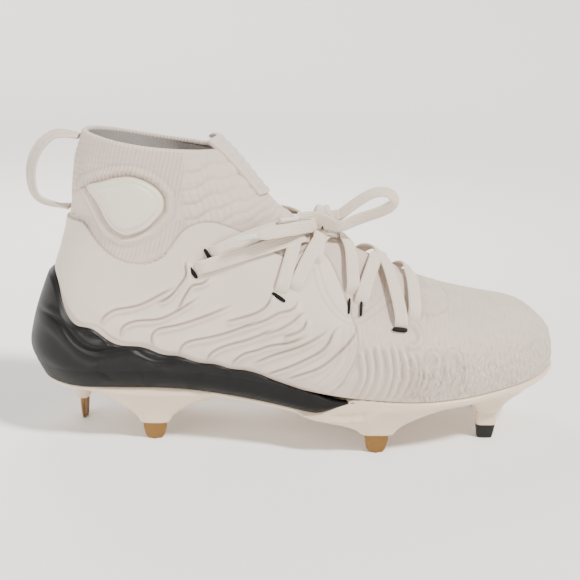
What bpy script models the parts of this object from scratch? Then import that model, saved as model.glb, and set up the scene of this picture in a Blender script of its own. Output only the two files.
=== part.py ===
"""Mid-top field cleat for the right foot: knitted upper, moulded midsole, plate with blades, flat laces.

Metres. +X runs to the toe, +Y to the medial side, +Z up. The floor is z = 0 under the blades.
Shapes are worked out with x = 0 at the upper's heel and moved to the frame's origin at the end.
"""

import math

import bmesh
import bpy
import numpy as np

# Driving sizes
LENGTH = 0.2905
BALL_WIDTH = 0.100
BALL_STACK = 0.0325
HEEL_DROP = 0.0115
TOE_SPRING = 0.0065
THROAT_HEIGHT = 0.128
COLLAR_BACK = 0.135
COLLAR_FRONT = 0.0995
HEEL_LEAN = 0.0205
ANKLE_WIDTH = 0.063
TOE_SWING = 0.009
TOE_ROUND = 0.036
FEATHER_TUCK = 0.0025
BELLY = 0.016
COLLAR_DIP = 0.002
SHAFT_LOW = 0.030
SHAFT_HIGH = 0.075
ROUNDING = 2.2
TOE_ROUNDING = 2.5
TOP_ROUNDING = 2.2
FRONT_POWER = 1.25

# Fits and walls
GAP = 0.0003
SLACK = 0.0006
SEAT = 0.0001
WALL = 0.0020
COLLAR_WALL = 0.0030
OVERLAY = 0.0010
INSOLE = 0.0040
PLATE = 0.0033
RIM = 0.0052
RIM_PROUD = 0.0012

# Upper mesh
ROWS = 15
COLUMNS = 56

# Outline of the last seen from above: widths as shares of BALL_WIDTH, swing as a share of TOE_SWING
PLAN = (
    # along, lateral, medial, swing
    (0.00, 0.330, 0.330, 0.00),
    (0.11, 0.340, 0.335, 0.00),
    (0.21, 0.345, 0.330, 0.00),
    (0.32, 0.362, 0.315, 0.00),
    (0.42, 0.405, 0.312, 0.02),
    (0.50, 0.460, 0.345, 0.06),
    (0.57, 0.505, 0.390, 0.11),
    (0.64, 0.533, 0.433, 0.17),
    (0.69, 0.543, 0.457, 0.24),
    (0.75, 0.530, 0.463, 0.34),
    (0.82, 0.483, 0.430, 0.52),
    (0.88, 0.420, 0.386, 0.68),
    (0.93, 0.362, 0.338, 0.80),
    (0.965, 0.318, 0.300, 0.90),
    (1.00, 0.270, 0.262, 1.00),
)

# Outline seen from the side: top and depth as shares of THROAT_HEIGHT, drop of HEEL_DROP,
# spring of TOE_SPRING
SIDE = (
    # along, top, depth, drop, spring
    (0.000, 1.960, 0.50, 1.00, 0.00),
    (0.177, 1.410, 0.50, 0.99, 0.00),
    (0.246, 1.222, 0.49, 0.97, 0.00),
    (0.294, 1.092, 0.47, 0.92, 0.00),
    (0.3425, 0.986, 0.45, 0.80, 0.00),
    (0.380, 0.888, 0.43, 0.70, 0.00),
    (0.412, 0.802, 0.41, 0.58, 0.00),
    (0.453, 0.722, 0.40, 0.42, 0.00),
    (0.504, 0.655, 0.38, 0.25, 0.00),
    (0.556, 0.597, 0.36, 0.12, 0.00),
    (0.618, 0.533, 0.34, 0.04, 0.00),
    (0.680, 0.470, 0.32, 0.00, 0.00),
    (0.745, 0.415, 0.30, 0.00, 0.05),
    (0.814, 0.375, 0.28, 0.00, 0.20),
    (0.883, 0.348, 0.26, 0.00, 0.45),
    (0.952, 0.328, 0.25, 0.00, 0.75),
    (1.000, 0.316, 0.24, 0.00, 1.00),
)

# Heel line: height as a share of COLLAR_BACK, lean of HEEL_LEAN, round of ANKLE_WIDTH
BACK = (
    # height, lean, round
    (-0.04, 0.20, 0.43),
    (0.05, 0.06, 0.44),
    (0.16, 0.00, 0.46),
    (0.28, 0.02, 0.49),
    (0.39, 0.12, 0.54),
    (0.47, 0.25, 0.59),
    (0.55, 0.42, 0.63),
    (0.66, 0.60, 0.67),
    (0.80, 0.74, 0.67),
    (0.92, 0.86, 0.65),
    (1.00, 1.00, 0.63),
    (1.15, 1.30, 0.63),
)

# Midsole: along as a share of LENGTH, edge and base heights as shares of BALL_STACK,
# bulge of the wall as a share of HEEL_FLARE
HEEL_FLARE = 0.0095
MIDSOLE = (
    # along, edge, base, bulge
    (0.000, 2.86, 1.06, 1.00),
    (0.030, 2.66, 1.06, 0.72),
    (0.060, 2.26, 1.05, 0.56),
    (0.100, 2.05, 1.05, 0.47),
    (0.140, 1.83, 1.05, 0.42),
    (0.190, 1.70, 1.05, 0.40),
    (0.250, 1.56, 1.04, 0.37),
    (0.320, 1.42, 0.98, 0.34),
    (0.390, 1.26, 0.90, 0.32),
    (0.450, 1.14, 0.82, 0.30),
    (0.510, 1.06, 0.75, 0.27),
    (0.560, 1.04, 0.76, 0.24),
    (0.600, 1.04, 0.80, 0.20),
)
MIDSOLE_COLUMNS = 16
MIDSOLE_WALL = (
    # height from base to edge, share of the bulge
    (0.00, 0.35),
    (0.13, 0.76),
    (0.27, 1.00),
    (0.42, 0.88),
    (0.56, 0.70),
    (0.72, 0.48),
    (0.87, 0.30),
    (1.00, 0.16),
)

# Outline of the quarter overlay in the side view: shares of LENGTH and THROAT_HEIGHT from the floor
QUARTER_TOP = (
    # along, height
    (-0.020, 0.955),
    (0.055, 0.955),
    (0.080, 0.950),
    (0.097, 0.905),
    (0.112, 0.865),
    (0.132, 0.828),
    (0.155, 0.805),
    (0.182, 0.797),
    (0.205, 0.806),
    (0.225, 0.832),
    (0.243, 0.885),
    (0.262, 0.940),
    (0.283, 0.968),
    (0.303, 0.976),
    (0.325, 0.968),
    (0.352, 0.944),
    (0.380, 0.912),
    (0.405, 0.875),
    (0.428, 0.842),
    (0.450, 0.822),
    (0.475, 0.838),
    (0.503, 0.852),
    (0.522, 0.820),
    (0.541, 0.750),
    (0.556, 0.665),
    (0.568, 0.590),
    (0.576, 0.520),
    (0.573, 0.450),
    (0.560, 0.380),
    (0.541, 0.305),
    (0.521, 0.262),
)
QUARTER_LIFT = 0.0012

# Ankle pads in the side view: shares of LENGTH and COLLAR_BACK above the ball's stack
PAD_CENTRE = (0.172, 0.745)
PAD = (
    # along, height
    (0.090, 0.806),
    (0.112, 0.828),
    (0.140, 0.848),
    (0.168, 0.856),
    (0.193, 0.842),
    (0.212, 0.818),
    (0.226, 0.780),
    (0.226, 0.728),
    (0.213, 0.690),
    (0.196, 0.655),
    (0.174, 0.634),
    (0.156, 0.628),
    (0.134, 0.655),
    (0.120, 0.700),
    (0.106, 0.757),
)
PAD_LIFT = 0.0008
PAD_RISE = 0.0045
PAD_DOME = (
    # share of the outline, share of the rise
    (1.00, 0.45),
    (0.90, 0.78),
    (0.66, 0.95),
    (0.33, 1.00),
)
PAD_UNDER = (0.33, 0.66, 1.00)

# Pull loop behind the collar: along as a share of HEEL_LEAN, height of COLLAR_BACK
LOOP_WIDTH = 0.0130
LOOP_THICK = 0.0020
LOOP_STEPS = 21
PULL_LOOP = (
    # along, height
    (0.605, 0.692),
    (0.350, 0.695),
    (0.080, 0.703),
    (-0.180, 0.720),
    (-0.340, 0.756),
    (-0.385, 0.818),
    (-0.310, 0.878),
    (-0.120, 0.932),
    (0.120, 0.967),
    (0.420, 0.984),
    (0.915, 0.975),
)

# Tab at the front of the collar
TAB_HALF = 0.0165
TAB_THICK = 0.0016
TAB_LIFT = 0.0008
TAB_LOW = 0.895
TAB_RISE = 0.0100

# Flat lace: each bar runs from one place of the side view to another, as shares of LENGTH and
# THROAT_HEIGHT from the floor, and rises over the bars that it crosses by its own extra lift
LACE_WIDTH = 0.0072
LACE_THICK = 0.0016
LACE_HIGH = 0.0025
LACE_LOW = 0.0014
LACE_STEPS = 11
LACE_BARS = (
    # side, along, height, side, along, height, extra
    (-1, 0.682, 0.600, 1, 0.676, 0.610, 0.0000),
    (-1, 0.584, 0.655, 1, 0.660, 0.600, 0.0008),
    (-1, 0.656, 0.575, 1, 0.586, 0.660, 0.0017),
    (-1, 0.462, 0.700, 1, 0.592, 0.650, 0.0004),
    (-1, 0.570, 0.690, 1, 0.520, 0.735, 0.0013),
    (-1, 0.438, 0.690, 1, 0.478, 0.760, 0.0000),
    (-1, 0.500, 0.800, 1, 0.430, 0.680, 0.0008),
    (-1, 0.284, 0.785, -1, 0.482, 0.890, 0.0002),
    (-1, 0.312, 0.850, -1, 0.482, 0.930, 0.0002),
    (1, 0.284, 0.785, 1, 0.482, 0.895, 0.0002),
    (1, 0.312, 0.850, 1, 0.482, 0.935, 0.0002),
)

# Bow: the knot, and the two free runs of lace from it, in metres before the move to the origin
CORD_RADIUS = 0.0020
CORD_STEP = 0.0060
KNOT = (0.1500, -0.0080, 0.1238)
KNOT_HALF = (0.0062, 0.0040, 0.0038)
BOW_ROUTE = (
    (0.1590, -0.0085, 0.1250),
    (0.1655, -0.0095, 0.1305),
    (0.1730, -0.0105, 0.1362),
    (0.1800, -0.0115, 0.1392),
    (0.1860, -0.0120, 0.1385),
    (0.1885, -0.0120, 0.1348),
    (0.1860, -0.0115, 0.1308),
    (0.1795, -0.0110, 0.1275),
    (0.1720, -0.0110, 0.1248),
    (0.1650, -0.0120, 0.1220),
    (0.1580, -0.0145, 0.1205),
    (0.1510, -0.0150, 0.1235),
    (0.1440, -0.0150, 0.1250),
    (0.1380, -0.0180, 0.1250),
    (0.1320, -0.0215, 0.1250),
    (0.1260, -0.0245, 0.1250),
)
END_ROUTE = (
    (0.1440, -0.0170, 0.1210),
    (0.1380, -0.0230, 0.1212),
    (0.1310, -0.0285, 0.1212),
    (0.1240, -0.0332, 0.1210),
    (0.1170, -0.0366, 0.1203),
    (0.1100, -0.0388, 0.1192),
    (0.1030, -0.0400, 0.1178),
)

# Pods under the plate and the blades in them. Places as shares of LENGTH and BALL_WIDTH,
# reaches of the pod's top and foot as shares of BALL_WIDTH, foot height as a share of BALL_STACK
PODS = (
    # name, along, across, top_back, top_front, top_half, foot_half_x, foot_half_y, foot_height, top_across
    ("heel_lateral", 0.205, -0.250, 0.40, 0.44, 0.13, 0.085, 0.045, 0.31, -0.235),
    ("heel_medial", 0.205, 0.250, 0.40, 0.44, 0.13, 0.085, 0.045, 0.31, 0.215),
    ("rear", 0.055, 0.050, 0.09, 0.22, 0.18, 0.040, 0.085, 0.42, 0.020),
    ("ball_lateral", 0.625, -0.420, 0.46, 0.42, 0.13, 0.095, 0.045, 0.33, -0.385),
    ("ball_medial", 0.600, 0.360, 0.40, 0.42, 0.13, 0.095, 0.045, 0.33, 0.330),
    ("toe_lateral", 0.852, -0.215, 0.20, 0.20, 0.13, 0.075, 0.060, 0.50, -0.215),
    ("toe_medial", 0.866, 0.275, 0.18, 0.18, 0.10, 0.070, 0.055, 0.50, 0.270),
)
BLADE_WIDTH = 0.0130
BLADE_THICK = 0.0026
BLADE_TAPER = 0.80
STUD_WIDTH = 0.0120
STUD_THICK = 0.0065


def smooth_curve(places, values):
    """Value at any place of the natural cubic through the given points, level beyond the ends."""
    x = np.array(places, float)
    y = np.array(values, float)
    n = len(x)
    step = np.diff(x)
    rows = np.zeros((n, n))
    right = np.zeros(n)
    rows[0, 0] = 1
    rows[-1, -1] = 1
    for i in range(1, n - 1):
        rows[i, i - 1:i + 2] = step[i - 1], 2 * (step[i - 1] + step[i]), step[i]
        right[i] = 6 * ((y[i + 1] - y[i]) / step[i] - (y[i] - y[i - 1]) / step[i - 1])
    bend = np.linalg.solve(rows, right)

    def value(at):
        at = np.clip(at, x[0], x[-1])
        i = np.clip(np.searchsorted(x, at, side="right") - 1, 0, n - 2)
        after = at - x[i]
        before = x[i + 1] - at
        curve = (bend[i] * before ** 3 + bend[i + 1] * after ** 3) / (6 * step[i])
        start = (y[i] / step[i] - bend[i] * step[i] / 6) * before
        end = (y[i + 1] / step[i] - bend[i + 1] * step[i] / 6) * after
        return curve + start + end

    return value


def column(table, k, along, size):
    return smooth_curve([row[0] * along for row in table], [row[k] * size for row in table])


lateral_width = column(PLAN, 1, LENGTH, BALL_WIDTH)
medial_width = column(PLAN, 2, LENGTH, BALL_WIDTH)
centre_y = column(PLAN, 3, LENGTH, TOE_SWING)
top_share = column(SIDE, 1, LENGTH, THROAT_HEIGHT)
top_depth = column(SIDE, 2, LENGTH, THROAT_HEIGHT)
drop_share = column(SIDE, 3, LENGTH, HEEL_DROP)
spring_share = column(SIDE, 4, LENGTH, TOE_SPRING)
back_lean = column(BACK, 1, COLLAR_BACK, HEEL_LEAN)
back_round = column(BACK, 2, COLLAR_BACK, ANKLE_WIDTH)
midsole_edge = column(MIDSOLE, 1, LENGTH, BALL_STACK)
midsole_base = column(MIDSOLE, 2, LENGTH, BALL_STACK)
midsole_bulge = column(MIDSOLE, 3, LENGTH, HEEL_FLARE)


def smooth_step(x, a, b):
    u = np.clip((x - a) / (b - a), 0, 1)
    return u * u * (3 - 2 * u)


def top_z(x):
    return BALL_STACK + top_share(x)


def feather_z(x):
    """Height of the upper's lower edge, where it meets the sole."""
    return BALL_STACK + drop_share(x) + spring_share(x)


def back_x(z):
    return back_lean(z - BALL_STACK)


def closing(gap, depth, power):
    return np.clip(1 - gap / depth, 0, None) ** power


def half_breadth(side, x, z):
    """Half width of the upper's skin at a place of the side view; side is -1 lateral, +1 medial."""
    foot = lateral_width(x) if side < 0 else medial_width(x)
    shaft = smooth_step(z, BALL_STACK + SHAFT_LOW, BALL_STACK + SHAFT_HIGH)
    wide = foot * (1 - shaft) + ANKLE_WIDTH / 2 * shaft
    low = np.clip((feather_z(x) + BELLY - z) / BELLY, 0, 1)
    wide = wide - FEATHER_TUCK * low * low
    room = 1 - closing(LENGTH - x, TOE_ROUND, TOE_ROUNDING)
    room = room - closing(top_z(x) - z, top_depth(x), TOP_ROUNDING)
    room = room - closing(x - back_x(z), back_round(z - BALL_STACK), ROUNDING)
    return wide * np.clip(room, 0, None) ** (1 / ROUNDING)


def front_line(n=600):
    """Side view of the skin's front, from the toe's lower edge over the vamp to the collar."""
    u = np.linspace(0, 1, n)
    x = LENGTH - (LENGTH - COLLAR_FRONT) * u ** 2.2
    toe = closing(LENGTH - x, TOE_ROUND, TOE_ROUNDING)
    z = top_z(x) - top_depth(x) * (1 - np.clip(1 - toe, 0, None) ** (1 / TOP_ROUNDING))
    low = feather_z(LENGTH)
    wall = np.linspace(low, z[0], 12)[:-1]
    return np.concatenate([np.full(len(wall), LENGTH), x]), np.concatenate([wall, z])


def even(points, n):
    """n points at equal distances along a line of points."""
    d = np.concatenate([[0], np.cumsum(np.linalg.norm(np.diff(points, axis=0), axis=1))])
    at = np.linspace(0, d[-1], n)
    return np.stack([np.interp(at, d, points[:, k]) for k in range(3)], 1)


FRONT = np.stack(front_line() + (np.zeros(611),), 1)
FRONT_RUN = np.concatenate([[0], np.cumsum(np.linalg.norm(np.diff(FRONT, axis=0), axis=1))])


def side_ring(side, t, n=260):
    """Half ring of the skin at row share t, from the heel's centre to the front's centre."""
    at = t ** FRONT_POWER * FRONT_RUN[-1]
    front_x = np.interp(at, FRONT_RUN, FRONT[:, 0])
    front_z = np.interp(at, FRONT_RUN, FRONT[:, 1])
    low = feather_z(0.0)
    heel_z = low + (BALL_STACK + COLLAR_BACK - low) * t
    heel_x = back_x(heel_z)
    p = (1 - np.cos(np.linspace(0, np.pi, n))) / 2
    x = heel_x + (front_x - heel_x) * p
    bow = feather_z(x) - (low + (feather_z(LENGTH) - low) * p)
    z = heel_z + (front_z - heel_z) * p + bow * (1 - t) ** 2
    z = z - COLLAR_DIP * t ** 4 * np.sin(np.pi * p)
    w = half_breadth(side, x, z)
    w[0] = 0
    w[-1] = 0
    return np.stack([x, centre_y(x) + side * w, z], 1)


def skin_point(side, t, s):
    """Point of the skin at row share t and share s of the half ring, 0 at the heel, 1 at the front."""
    ring = even(side_ring(side, t), 241)
    i = s * 240
    k = int(min(max(math.floor(i), 0), 239))
    return ring[k] + (ring[k + 1] - ring[k]) * (i - k)


def skin_normal(side, t, s):
    e = 0.004
    t0, t1 = max(t - e, 0), min(t + e, 1)
    s0, s1 = s - e, s + e
    if s0 < 0:
        a = skin_point(-side, t, -s0)
    else:
        a = skin_point(side, t, s0)
    if s1 > 1:
        b = skin_point(-side, t, 2 - s1)
    else:
        b = skin_point(side, t, s1)
    up = skin_point(side, t1, s) - skin_point(side, t0, s)
    n = np.cross(b - a, up) * (-side)
    return n / np.linalg.norm(n)


def grid_normals(grid):
    """Outward normals of a grid of rows that close round the shoe."""
    around = np.roll(grid, -1, axis=1) - np.roll(grid, 1, axis=1)
    up = np.gradient(grid, axis=0)
    n = np.cross(around, up)
    n = n / np.linalg.norm(n, axis=2, keepdims=True)
    return n


def material(name, colour, roughness, metallic=0.0):
    m = bpy.data.materials.new(name)
    m.use_nodes = True
    shader = m.node_tree.nodes["Principled BSDF"]
    shader.inputs["Base Color"].default_value = (*colour, 1)
    shader.inputs["Roughness"].default_value = roughness
    shader.inputs["Metallic"].default_value = metallic
    m.diffuse_color = (*colour, 1)
    return m


def solid(name, points, faces, paint, home):
    """Closed mesh object with its normals turned outward."""
    mesh = bpy.data.meshes.new(name)
    mesh.from_pydata([tuple(map(float, p)) for p in points], [], faces)
    work = bmesh.new()
    work.from_mesh(mesh)
    bmesh.ops.triangulate(work, faces=work.faces[:])
    bmesh.ops.recalc_face_normals(work, faces=work.faces[:])
    if work.calc_volume(signed=True) < 0:
        bmesh.ops.reverse_faces(work, faces=work.faces[:])
    work.to_mesh(mesh)
    work.free()
    mesh.materials.append(paint)
    thing = bpy.data.objects.new(name, mesh)
    home.objects.link(thing)
    return thing


def ring_faces(lower, upper):
    """Quads between two closed rows of vertex numbers."""
    n = len(lower)
    return [(lower[i], lower[(i + 1) % n], upper[(i + 1) % n], upper[i]) for i in range(n)]


def ladder_faces(row):
    """Faces that fill a closed row, rung by rung from its first to its middle vertex."""
    n = len(row)
    half = n // 2
    faces = [(row[0], row[1], row[n - 1])]
    for i in range(1, half - 1):
        faces.append((row[i], row[i + 1], row[n - i - 1], row[n - i]))
    faces.append((row[half - 1], row[half], row[half + 1]))
    return faces


def stacked(rows):
    """Points of several closed rows and the numbers of each row."""
    points = np.concatenate(rows)
    n = len(rows[0])
    return points, [list(range(k * n, (k + 1) * n)) for k in range(len(rows))]


def sheet_solid(name, inner, outer, paint, home):
    """Closed sheet between two equal open grids."""
    rows, columns = inner.shape[:2]
    points = np.concatenate([inner.reshape(-1, 3), outer.reshape(-1, 3)])
    base = rows * columns

    def at(face, i, j):
        return face * base + i * columns + j

    faces = []
    for i in range(rows - 1):
        for j in range(columns - 1):
            quad = ((i, j), (i, j + 1), (i + 1, j + 1), (i + 1, j))
            faces.append(tuple(at(0, a, b) for a, b in quad))
            faces.append(tuple(at(1, a, b) for a, b in quad[::-1]))
    rim = [(0, j) for j in range(columns)] + [(i, columns - 1) for i in range(1, rows)]
    rim += [(rows - 1, j) for j in range(columns - 2, -1, -1)] + [(i, 0) for i in range(rows - 2, 0, -1)]
    for k in range(len(rim)):
        a, b = rim[k], rim[(k + 1) % len(rim)]
        faces.append((at(0, *a), at(0, *b), at(1, *b), at(1, *a)))
    return solid(name, points, faces, paint, home)


def skin_grid(rows, columns):
    """Rows of the skin; each runs from the heel's centre round the lateral side to the front and back."""
    half = columns // 2
    grid = []
    for t in np.linspace(0, 1, rows):
        lateral = even(side_ring(-1, t), half + 1)
        medial = even(side_ring(1, t), half + 1)
        grid.append(np.concatenate([lateral, medial[::-1][1:-1]]))
    return np.array(grid)


STEP_X = float(even(side_ring(-1, 0.0), COLUMNS // 2 + 1)[MIDSOLE_COLUMNS, 0])


def build_upper(paint, home):
    outer = skin_grid(ROWS, COLUMNS)
    n = grid_normals(outer)
    n[0, :, 2] = 0
    n[-1, :, 2] = 0
    n[1, :, 2] *= 0.5
    n = n / np.linalg.norm(n, axis=2, keepdims=True)
    t = np.linspace(0, 1, ROWS)
    wall = WALL + (COLLAR_WALL - WALL) * smooth_step(t, 0.70, 0.95)
    inner = outer - n * wall[:, None, None]
    points, rows = stacked([*outer, *inner])
    faces = []
    for i in range(ROWS - 1):
        faces += ring_faces(rows[i], rows[i + 1])
        faces += ring_faces(rows[ROWS + i + 1], rows[ROWS + i])
    faces += ring_faces(rows[ROWS - 1], rows[2 * ROWS - 1])
    faces += ring_faces(rows[ROWS], rows[0])
    return solid("upper", points, faces, paint, home)


def along_height(row):
    """Point of the side view from a row of shares of LENGTH and THROAT_HEIGHT."""
    return row[0] * LENGTH, row[1] * THROAT_HEIGHT


def cut(thing, cutter, way):
    """Apply a Boolean to an object and keep the result as its mesh."""
    step = thing.modifiers.new(way.lower(), "BOOLEAN")
    step.operation = way
    step.solver = "EXACT"
    step.object = cutter
    seen = bpy.context.evaluated_depsgraph_get()
    result = bpy.data.meshes.new_from_object(thing.evaluated_get(seen))
    thing.modifiers.clear()
    thing.data = result
    bpy.data.objects.remove(cutter, do_unlink=True)


def prism(name, outline, half, home):
    """Outline of the side view drawn out to both sides."""
    n = len(outline)
    points = [(x, -half, z) for x, z in outline] + [(x, half, z) for x, z in outline]
    faces = [tuple(range(n)), tuple(range(2 * n - 1, n - 1, -1))]
    faces += [(i, (i + 1) % n, n + (i + 1) % n, n + i) for i in range(n)]
    return solid(name, points, faces, None, home)


def level_normals(grid):
    """Outward directions of a grid, laid level."""
    n = grid_normals(grid)
    n[:, :, 2] = 0
    return n / np.linalg.norm(n, axis=2, keepdims=True)


def column_point(grid, normals, j, z):
    """Point of one column of the skin at a height, straight down below the lowest row."""
    line = grid[:8, j]
    out = normals[:8, j]
    p = np.array([np.interp(z, line[:, 2], line[:, k]) for k in range(2)] + [z])
    d = np.array([np.interp(z, line[:, 2], out[:, k]) for k in range(2)] + [0.0])
    return p, d / np.linalg.norm(d)


def build_quarter(paint, home, tools):
    """Thin overlay round the heel and quarters, cut from a shell that follows the upper."""
    grid = skin_grid(ROWS, COLUMNS)
    n = grid_normals(grid)
    inner = grid + n * GAP
    outer = grid + n * (GAP + OVERLAY)
    points, rows = stacked([*outer, *inner])
    faces = []
    for i in range(ROWS - 1):
        faces += ring_faces(rows[i], rows[i + 1])
        faces += ring_faces(rows[ROWS + i + 1], rows[ROWS + i])
    faces += ring_faces(rows[ROWS - 1], rows[2 * ROWS - 1])
    faces += ring_faces(rows[ROWS], rows[0])
    shell = solid("quarter_overlay", points, faces, paint, home)
    outline = [along_height(row) for row in QUARTER_TOP]
    for j in range(MIDSOLE_COLUMNS - 1, -1, -1):
        edge = float(midsole_edge(grid[0, j, 0]))
        x = column_point(grid, n, j, edge)[0][0]
        if x < outline[-1][0] - WALL:
            outline.append((x, edge + QUARTER_LIFT))
    outline.append((outline[0][0], outline[-1][1]))
    cut(shell, prism("quarter_outline", outline, BALL_WIDTH, tools), "INTERSECT")
    return shell


def base_height(grid, j):
    """Height of the midsole's base at a place round the shoe, level from side to side."""
    x = 0.0
    for place in (j, COLUMNS - j):
        k = int(math.floor(place))
        share = place - k
        x += (grid[0, k % COLUMNS, 0] * (1 - share) + grid[0, (k + 1) % COLUMNS, 0] * share) / 2
    return float(midsole_base(x))


def build_midsole(paint, home):
    """Tray of foam: a bed under the upper and a wall that climbs round the heel."""
    grid = skin_grid(ROWS, COLUMNS)
    normals = level_normals(grid)
    reach = range(-MIDSOLE_COLUMNS, MIDSOLE_COLUMNS + 1)
    points = []
    profiles = []
    for c in reach:
        j = c % COLUMNS
        x = grid[0, j, 0]
        floor = float(feather_z(x)) - GAP
        edge = float(midsole_edge(x))
        base = base_height(grid, j)
        bulge = float(midsole_bulge(x))
        profile = []
        for height, share in MIDSOLE_WALL:
            z = base + (edge - base) * height
            p, d = column_point(grid, normals, j, z)
            profile.append(p + d * (GAP + bulge * share))
        for share in (1.0, 0.66, 0.33, 0.0):
            z = floor + (edge - floor) * share
            p, d = column_point(grid, normals, j, z)
            profile.append(p + d * SLACK)
        profiles.append(list(range(len(points), len(points) + len(profile))))
        points += profile
    faces = []
    for left, right in zip(profiles[:-1], profiles[1:]):
        for k in range(len(left) - 1):
            faces.append((left[k], left[k + 1], right[k + 1], right[k]))
    middle = MIDSOLE_COLUMNS
    for k in (0, -1):
        ends = (profiles[middle - 1][k], profiles[middle][k], profiles[middle + 1][k])
        faces.append(ends)
        for c in range(1, middle):
            near, far = profiles[middle - c], profiles[middle - c - 1]
            other, beyond = profiles[middle + c], profiles[middle + c + 1]
            faces.append((near[k], other[k], beyond[k], far[k]))
    first, last = profiles[0], profiles[-1]
    faces.append(tuple(first))
    faces.append(tuple(last[::-1]))
    faces.append((first[0], first[-1], last[-1], last[0]))
    return solid("midsole", points, faces, paint, home)


def plate_loops():
    """Top and bottom edge of the plate, with a step where the midsole ends."""
    grid = skin_grid(ROWS, COLUMNS)
    normals = level_normals(grid)
    half = COLUMNS // 2
    places = [float(j) for j in range(MIDSOLE_COLUMNS + 1)] + [MIDSOLE_COLUMNS + 0.14]
    places += [float(j) for j in range(MIDSOLE_COLUMNS + 1, half + 1)]
    loop = places + [COLUMNS - j for j in places[::-1][1:-1]]
    top, rim, bottom = [], [], []
    for j in loop:
        k = int(math.floor(j)) % COLUMNS
        share = j - math.floor(j)
        p = grid[0, k] * (1 - share) + grid[0, (k + 1) % COLUMNS] * share
        d = normals[0, k] * (1 - share) + normals[0, (k + 1) % COLUMNS] * share
        d = d / np.linalg.norm(d)
        place = min(j, COLUMNS - j)
        behind = place <= MIDSOLE_COLUMNS
        if behind:
            high = base_height(grid, j) - GAP
            thick = PLATE
        else:
            high = float(feather_z(p[0])) - GAP
            thick = RIM
        proud = RIM_PROUD if not behind else float(midsole_bulge(p[0])) * MIDSOLE_WALL[0][1] + GAP
        top.append(p * (1, 1, 0) + d * proud + (0, 0, high))
        rim.append(p * (1, 1, 0) + d * (proud + 0.0004) + (0, 0, high - thick * 0.6))
        if place < MIDSOLE_COLUMNS + 1:
            low = base_height(grid, j) - GAP - PLATE
        else:
            low = high - thick
        bottom.append(p * (1, 1, 0) + d * (proud - 0.0014) + (0, 0, low))
    return np.array(top), np.array(rim), np.array(bottom)


def plate_bottom(x):
    """Height of the plate's underside along the shoe."""
    rear = midsole_base(x) - GAP - PLATE
    front = feather_z(x) - GAP - RIM
    share = smooth_step(x, STEP_X + PLATE, STEP_X + 2 * RIM)
    return rear * (1 - share) + front * share


def build_pod(row, home):
    """Flared foot that carries one blade."""
    name, along, across, back, front, top_half, foot_x, foot_y, foot, top_across = row
    x0, y0 = along * LENGTH, across * BALL_WIDTH
    steps = 16
    rows = []
    for level in (0.0, 0.22, 0.55, 1.0):
        share = level ** 1.7
        ring = []
        for i in range(steps):
            turn = 2 * math.pi * i / steps
            c, s = math.cos(turn), math.sin(turn)
            cx = math.copysign(abs(c) ** 0.7, c)
            sy = math.copysign(abs(s) ** 0.7, s)
            reach = front if c > 0 else back
            x = x0 + cx * BALL_WIDTH * (foot_x + (reach - foot_x) * share)
            y = (across + (top_across - across) * share) * BALL_WIDTH
            y += sy * BALL_WIDTH * (foot_y + (top_half - foot_y) * share)
            low = foot * BALL_STACK
            high = float(plate_bottom(x)) + PLATE * 0.20
            ring.append((x, y, low + (high - low) * level))
        rows.append(np.array(ring))
    points, numbers = stacked(rows)
    faces = ladder_faces(numbers[0]) + ladder_faces(numbers[-1])
    for a, b in zip(numbers[:-1], numbers[1:]):
        faces += ring_faces(a, b)
    return solid("pod_" + name, points, faces, None, home)


def build_plate(paint, home, tools):
    top, rim, bottom = plate_loops()
    points, rows = stacked([bottom, rim, top])
    faces = ladder_faces(rows[0]) + ladder_faces(rows[2])
    faces += ring_faces(rows[0], rows[1]) + ring_faces(rows[1], rows[2])
    plate = solid("outsole_plate", points, faces, paint, home)
    for row in PODS:
        cut(plate, build_pod(row, tools), "UNION")
    return plate


def build_blade(row, paint, home):
    """Tapered blade with a flat foot on the floor."""
    name, along, across = row[0], row[1], row[2]
    high = row[8] * BALL_STACK - SEAT
    turned = name == "rear"
    stud = name.startswith("toe")
    wide = (STUD_WIDTH if stud else BLADE_WIDTH) / 2
    thick = (STUD_THICK if stud else BLADE_THICK) / 2
    corner = 0.30
    rows = []
    for level, share in ((0.0, BLADE_TAPER), (0.25, BLADE_TAPER + 0.10), (1.0, 1.0)):
        w, t = wide * share, thick * share
        ring = [(-w, -t * 0.6), (-w * (1 - corner), -t), (w * (1 - corner), -t), (w, -t * 0.6)]
        ring += [(w, t * 0.6), (w * (1 - corner), t), (-w * (1 - corner), t), (-w, t * 0.6)]
        z = high * level
        if turned:
            rows.append(np.array([(along * LENGTH + b, across * BALL_WIDTH - a, z) for a, b in ring]))
        else:
            rows.append(np.array([(along * LENGTH + a, across * BALL_WIDTH + b, z) for a, b in ring]))
    points, numbers = stacked(rows)
    faces = [tuple(numbers[0]), tuple(numbers[-1])]
    for a, b in zip(numbers[:-1], numbers[1:]):
        faces += ring_faces(a, b)
    return solid(("stud_" if stud else "blade_") + name, points, faces, paint, home)


def build_insole(paint, home):
    grid = skin_grid(ROWS, COLUMNS)
    normals = level_normals(grid)
    outline = grid[0] - normals[0] * (WALL + GAP * 2)
    outline[:, 2] = feather_z(outline[:, 0])
    top = outline + (0, 0, INSOLE)
    points, rows = stacked([outline, top])
    faces = ladder_faces(rows[0]) + ladder_faces(rows[1]) + ring_faces(rows[0], rows[1])
    return solid("insole", points, faces, paint, home)


def side_point(side, x, z, lift):
    """Point off the skin's side at a place of the side view."""
    e = 0.0005
    y = half_breadth(side, x, z)
    along = (half_breadth(side, x + e, z) - half_breadth(side, x - e, z)) / (2 * e)
    up = (half_breadth(side, x, z + e) - half_breadth(side, x, z - e)) / (2 * e)
    n = np.array([-along, side, -up], float)
    n = n / np.linalg.norm(n)
    return np.array([x, centre_y(x) + side * y, z], float) + n * lift


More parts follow.
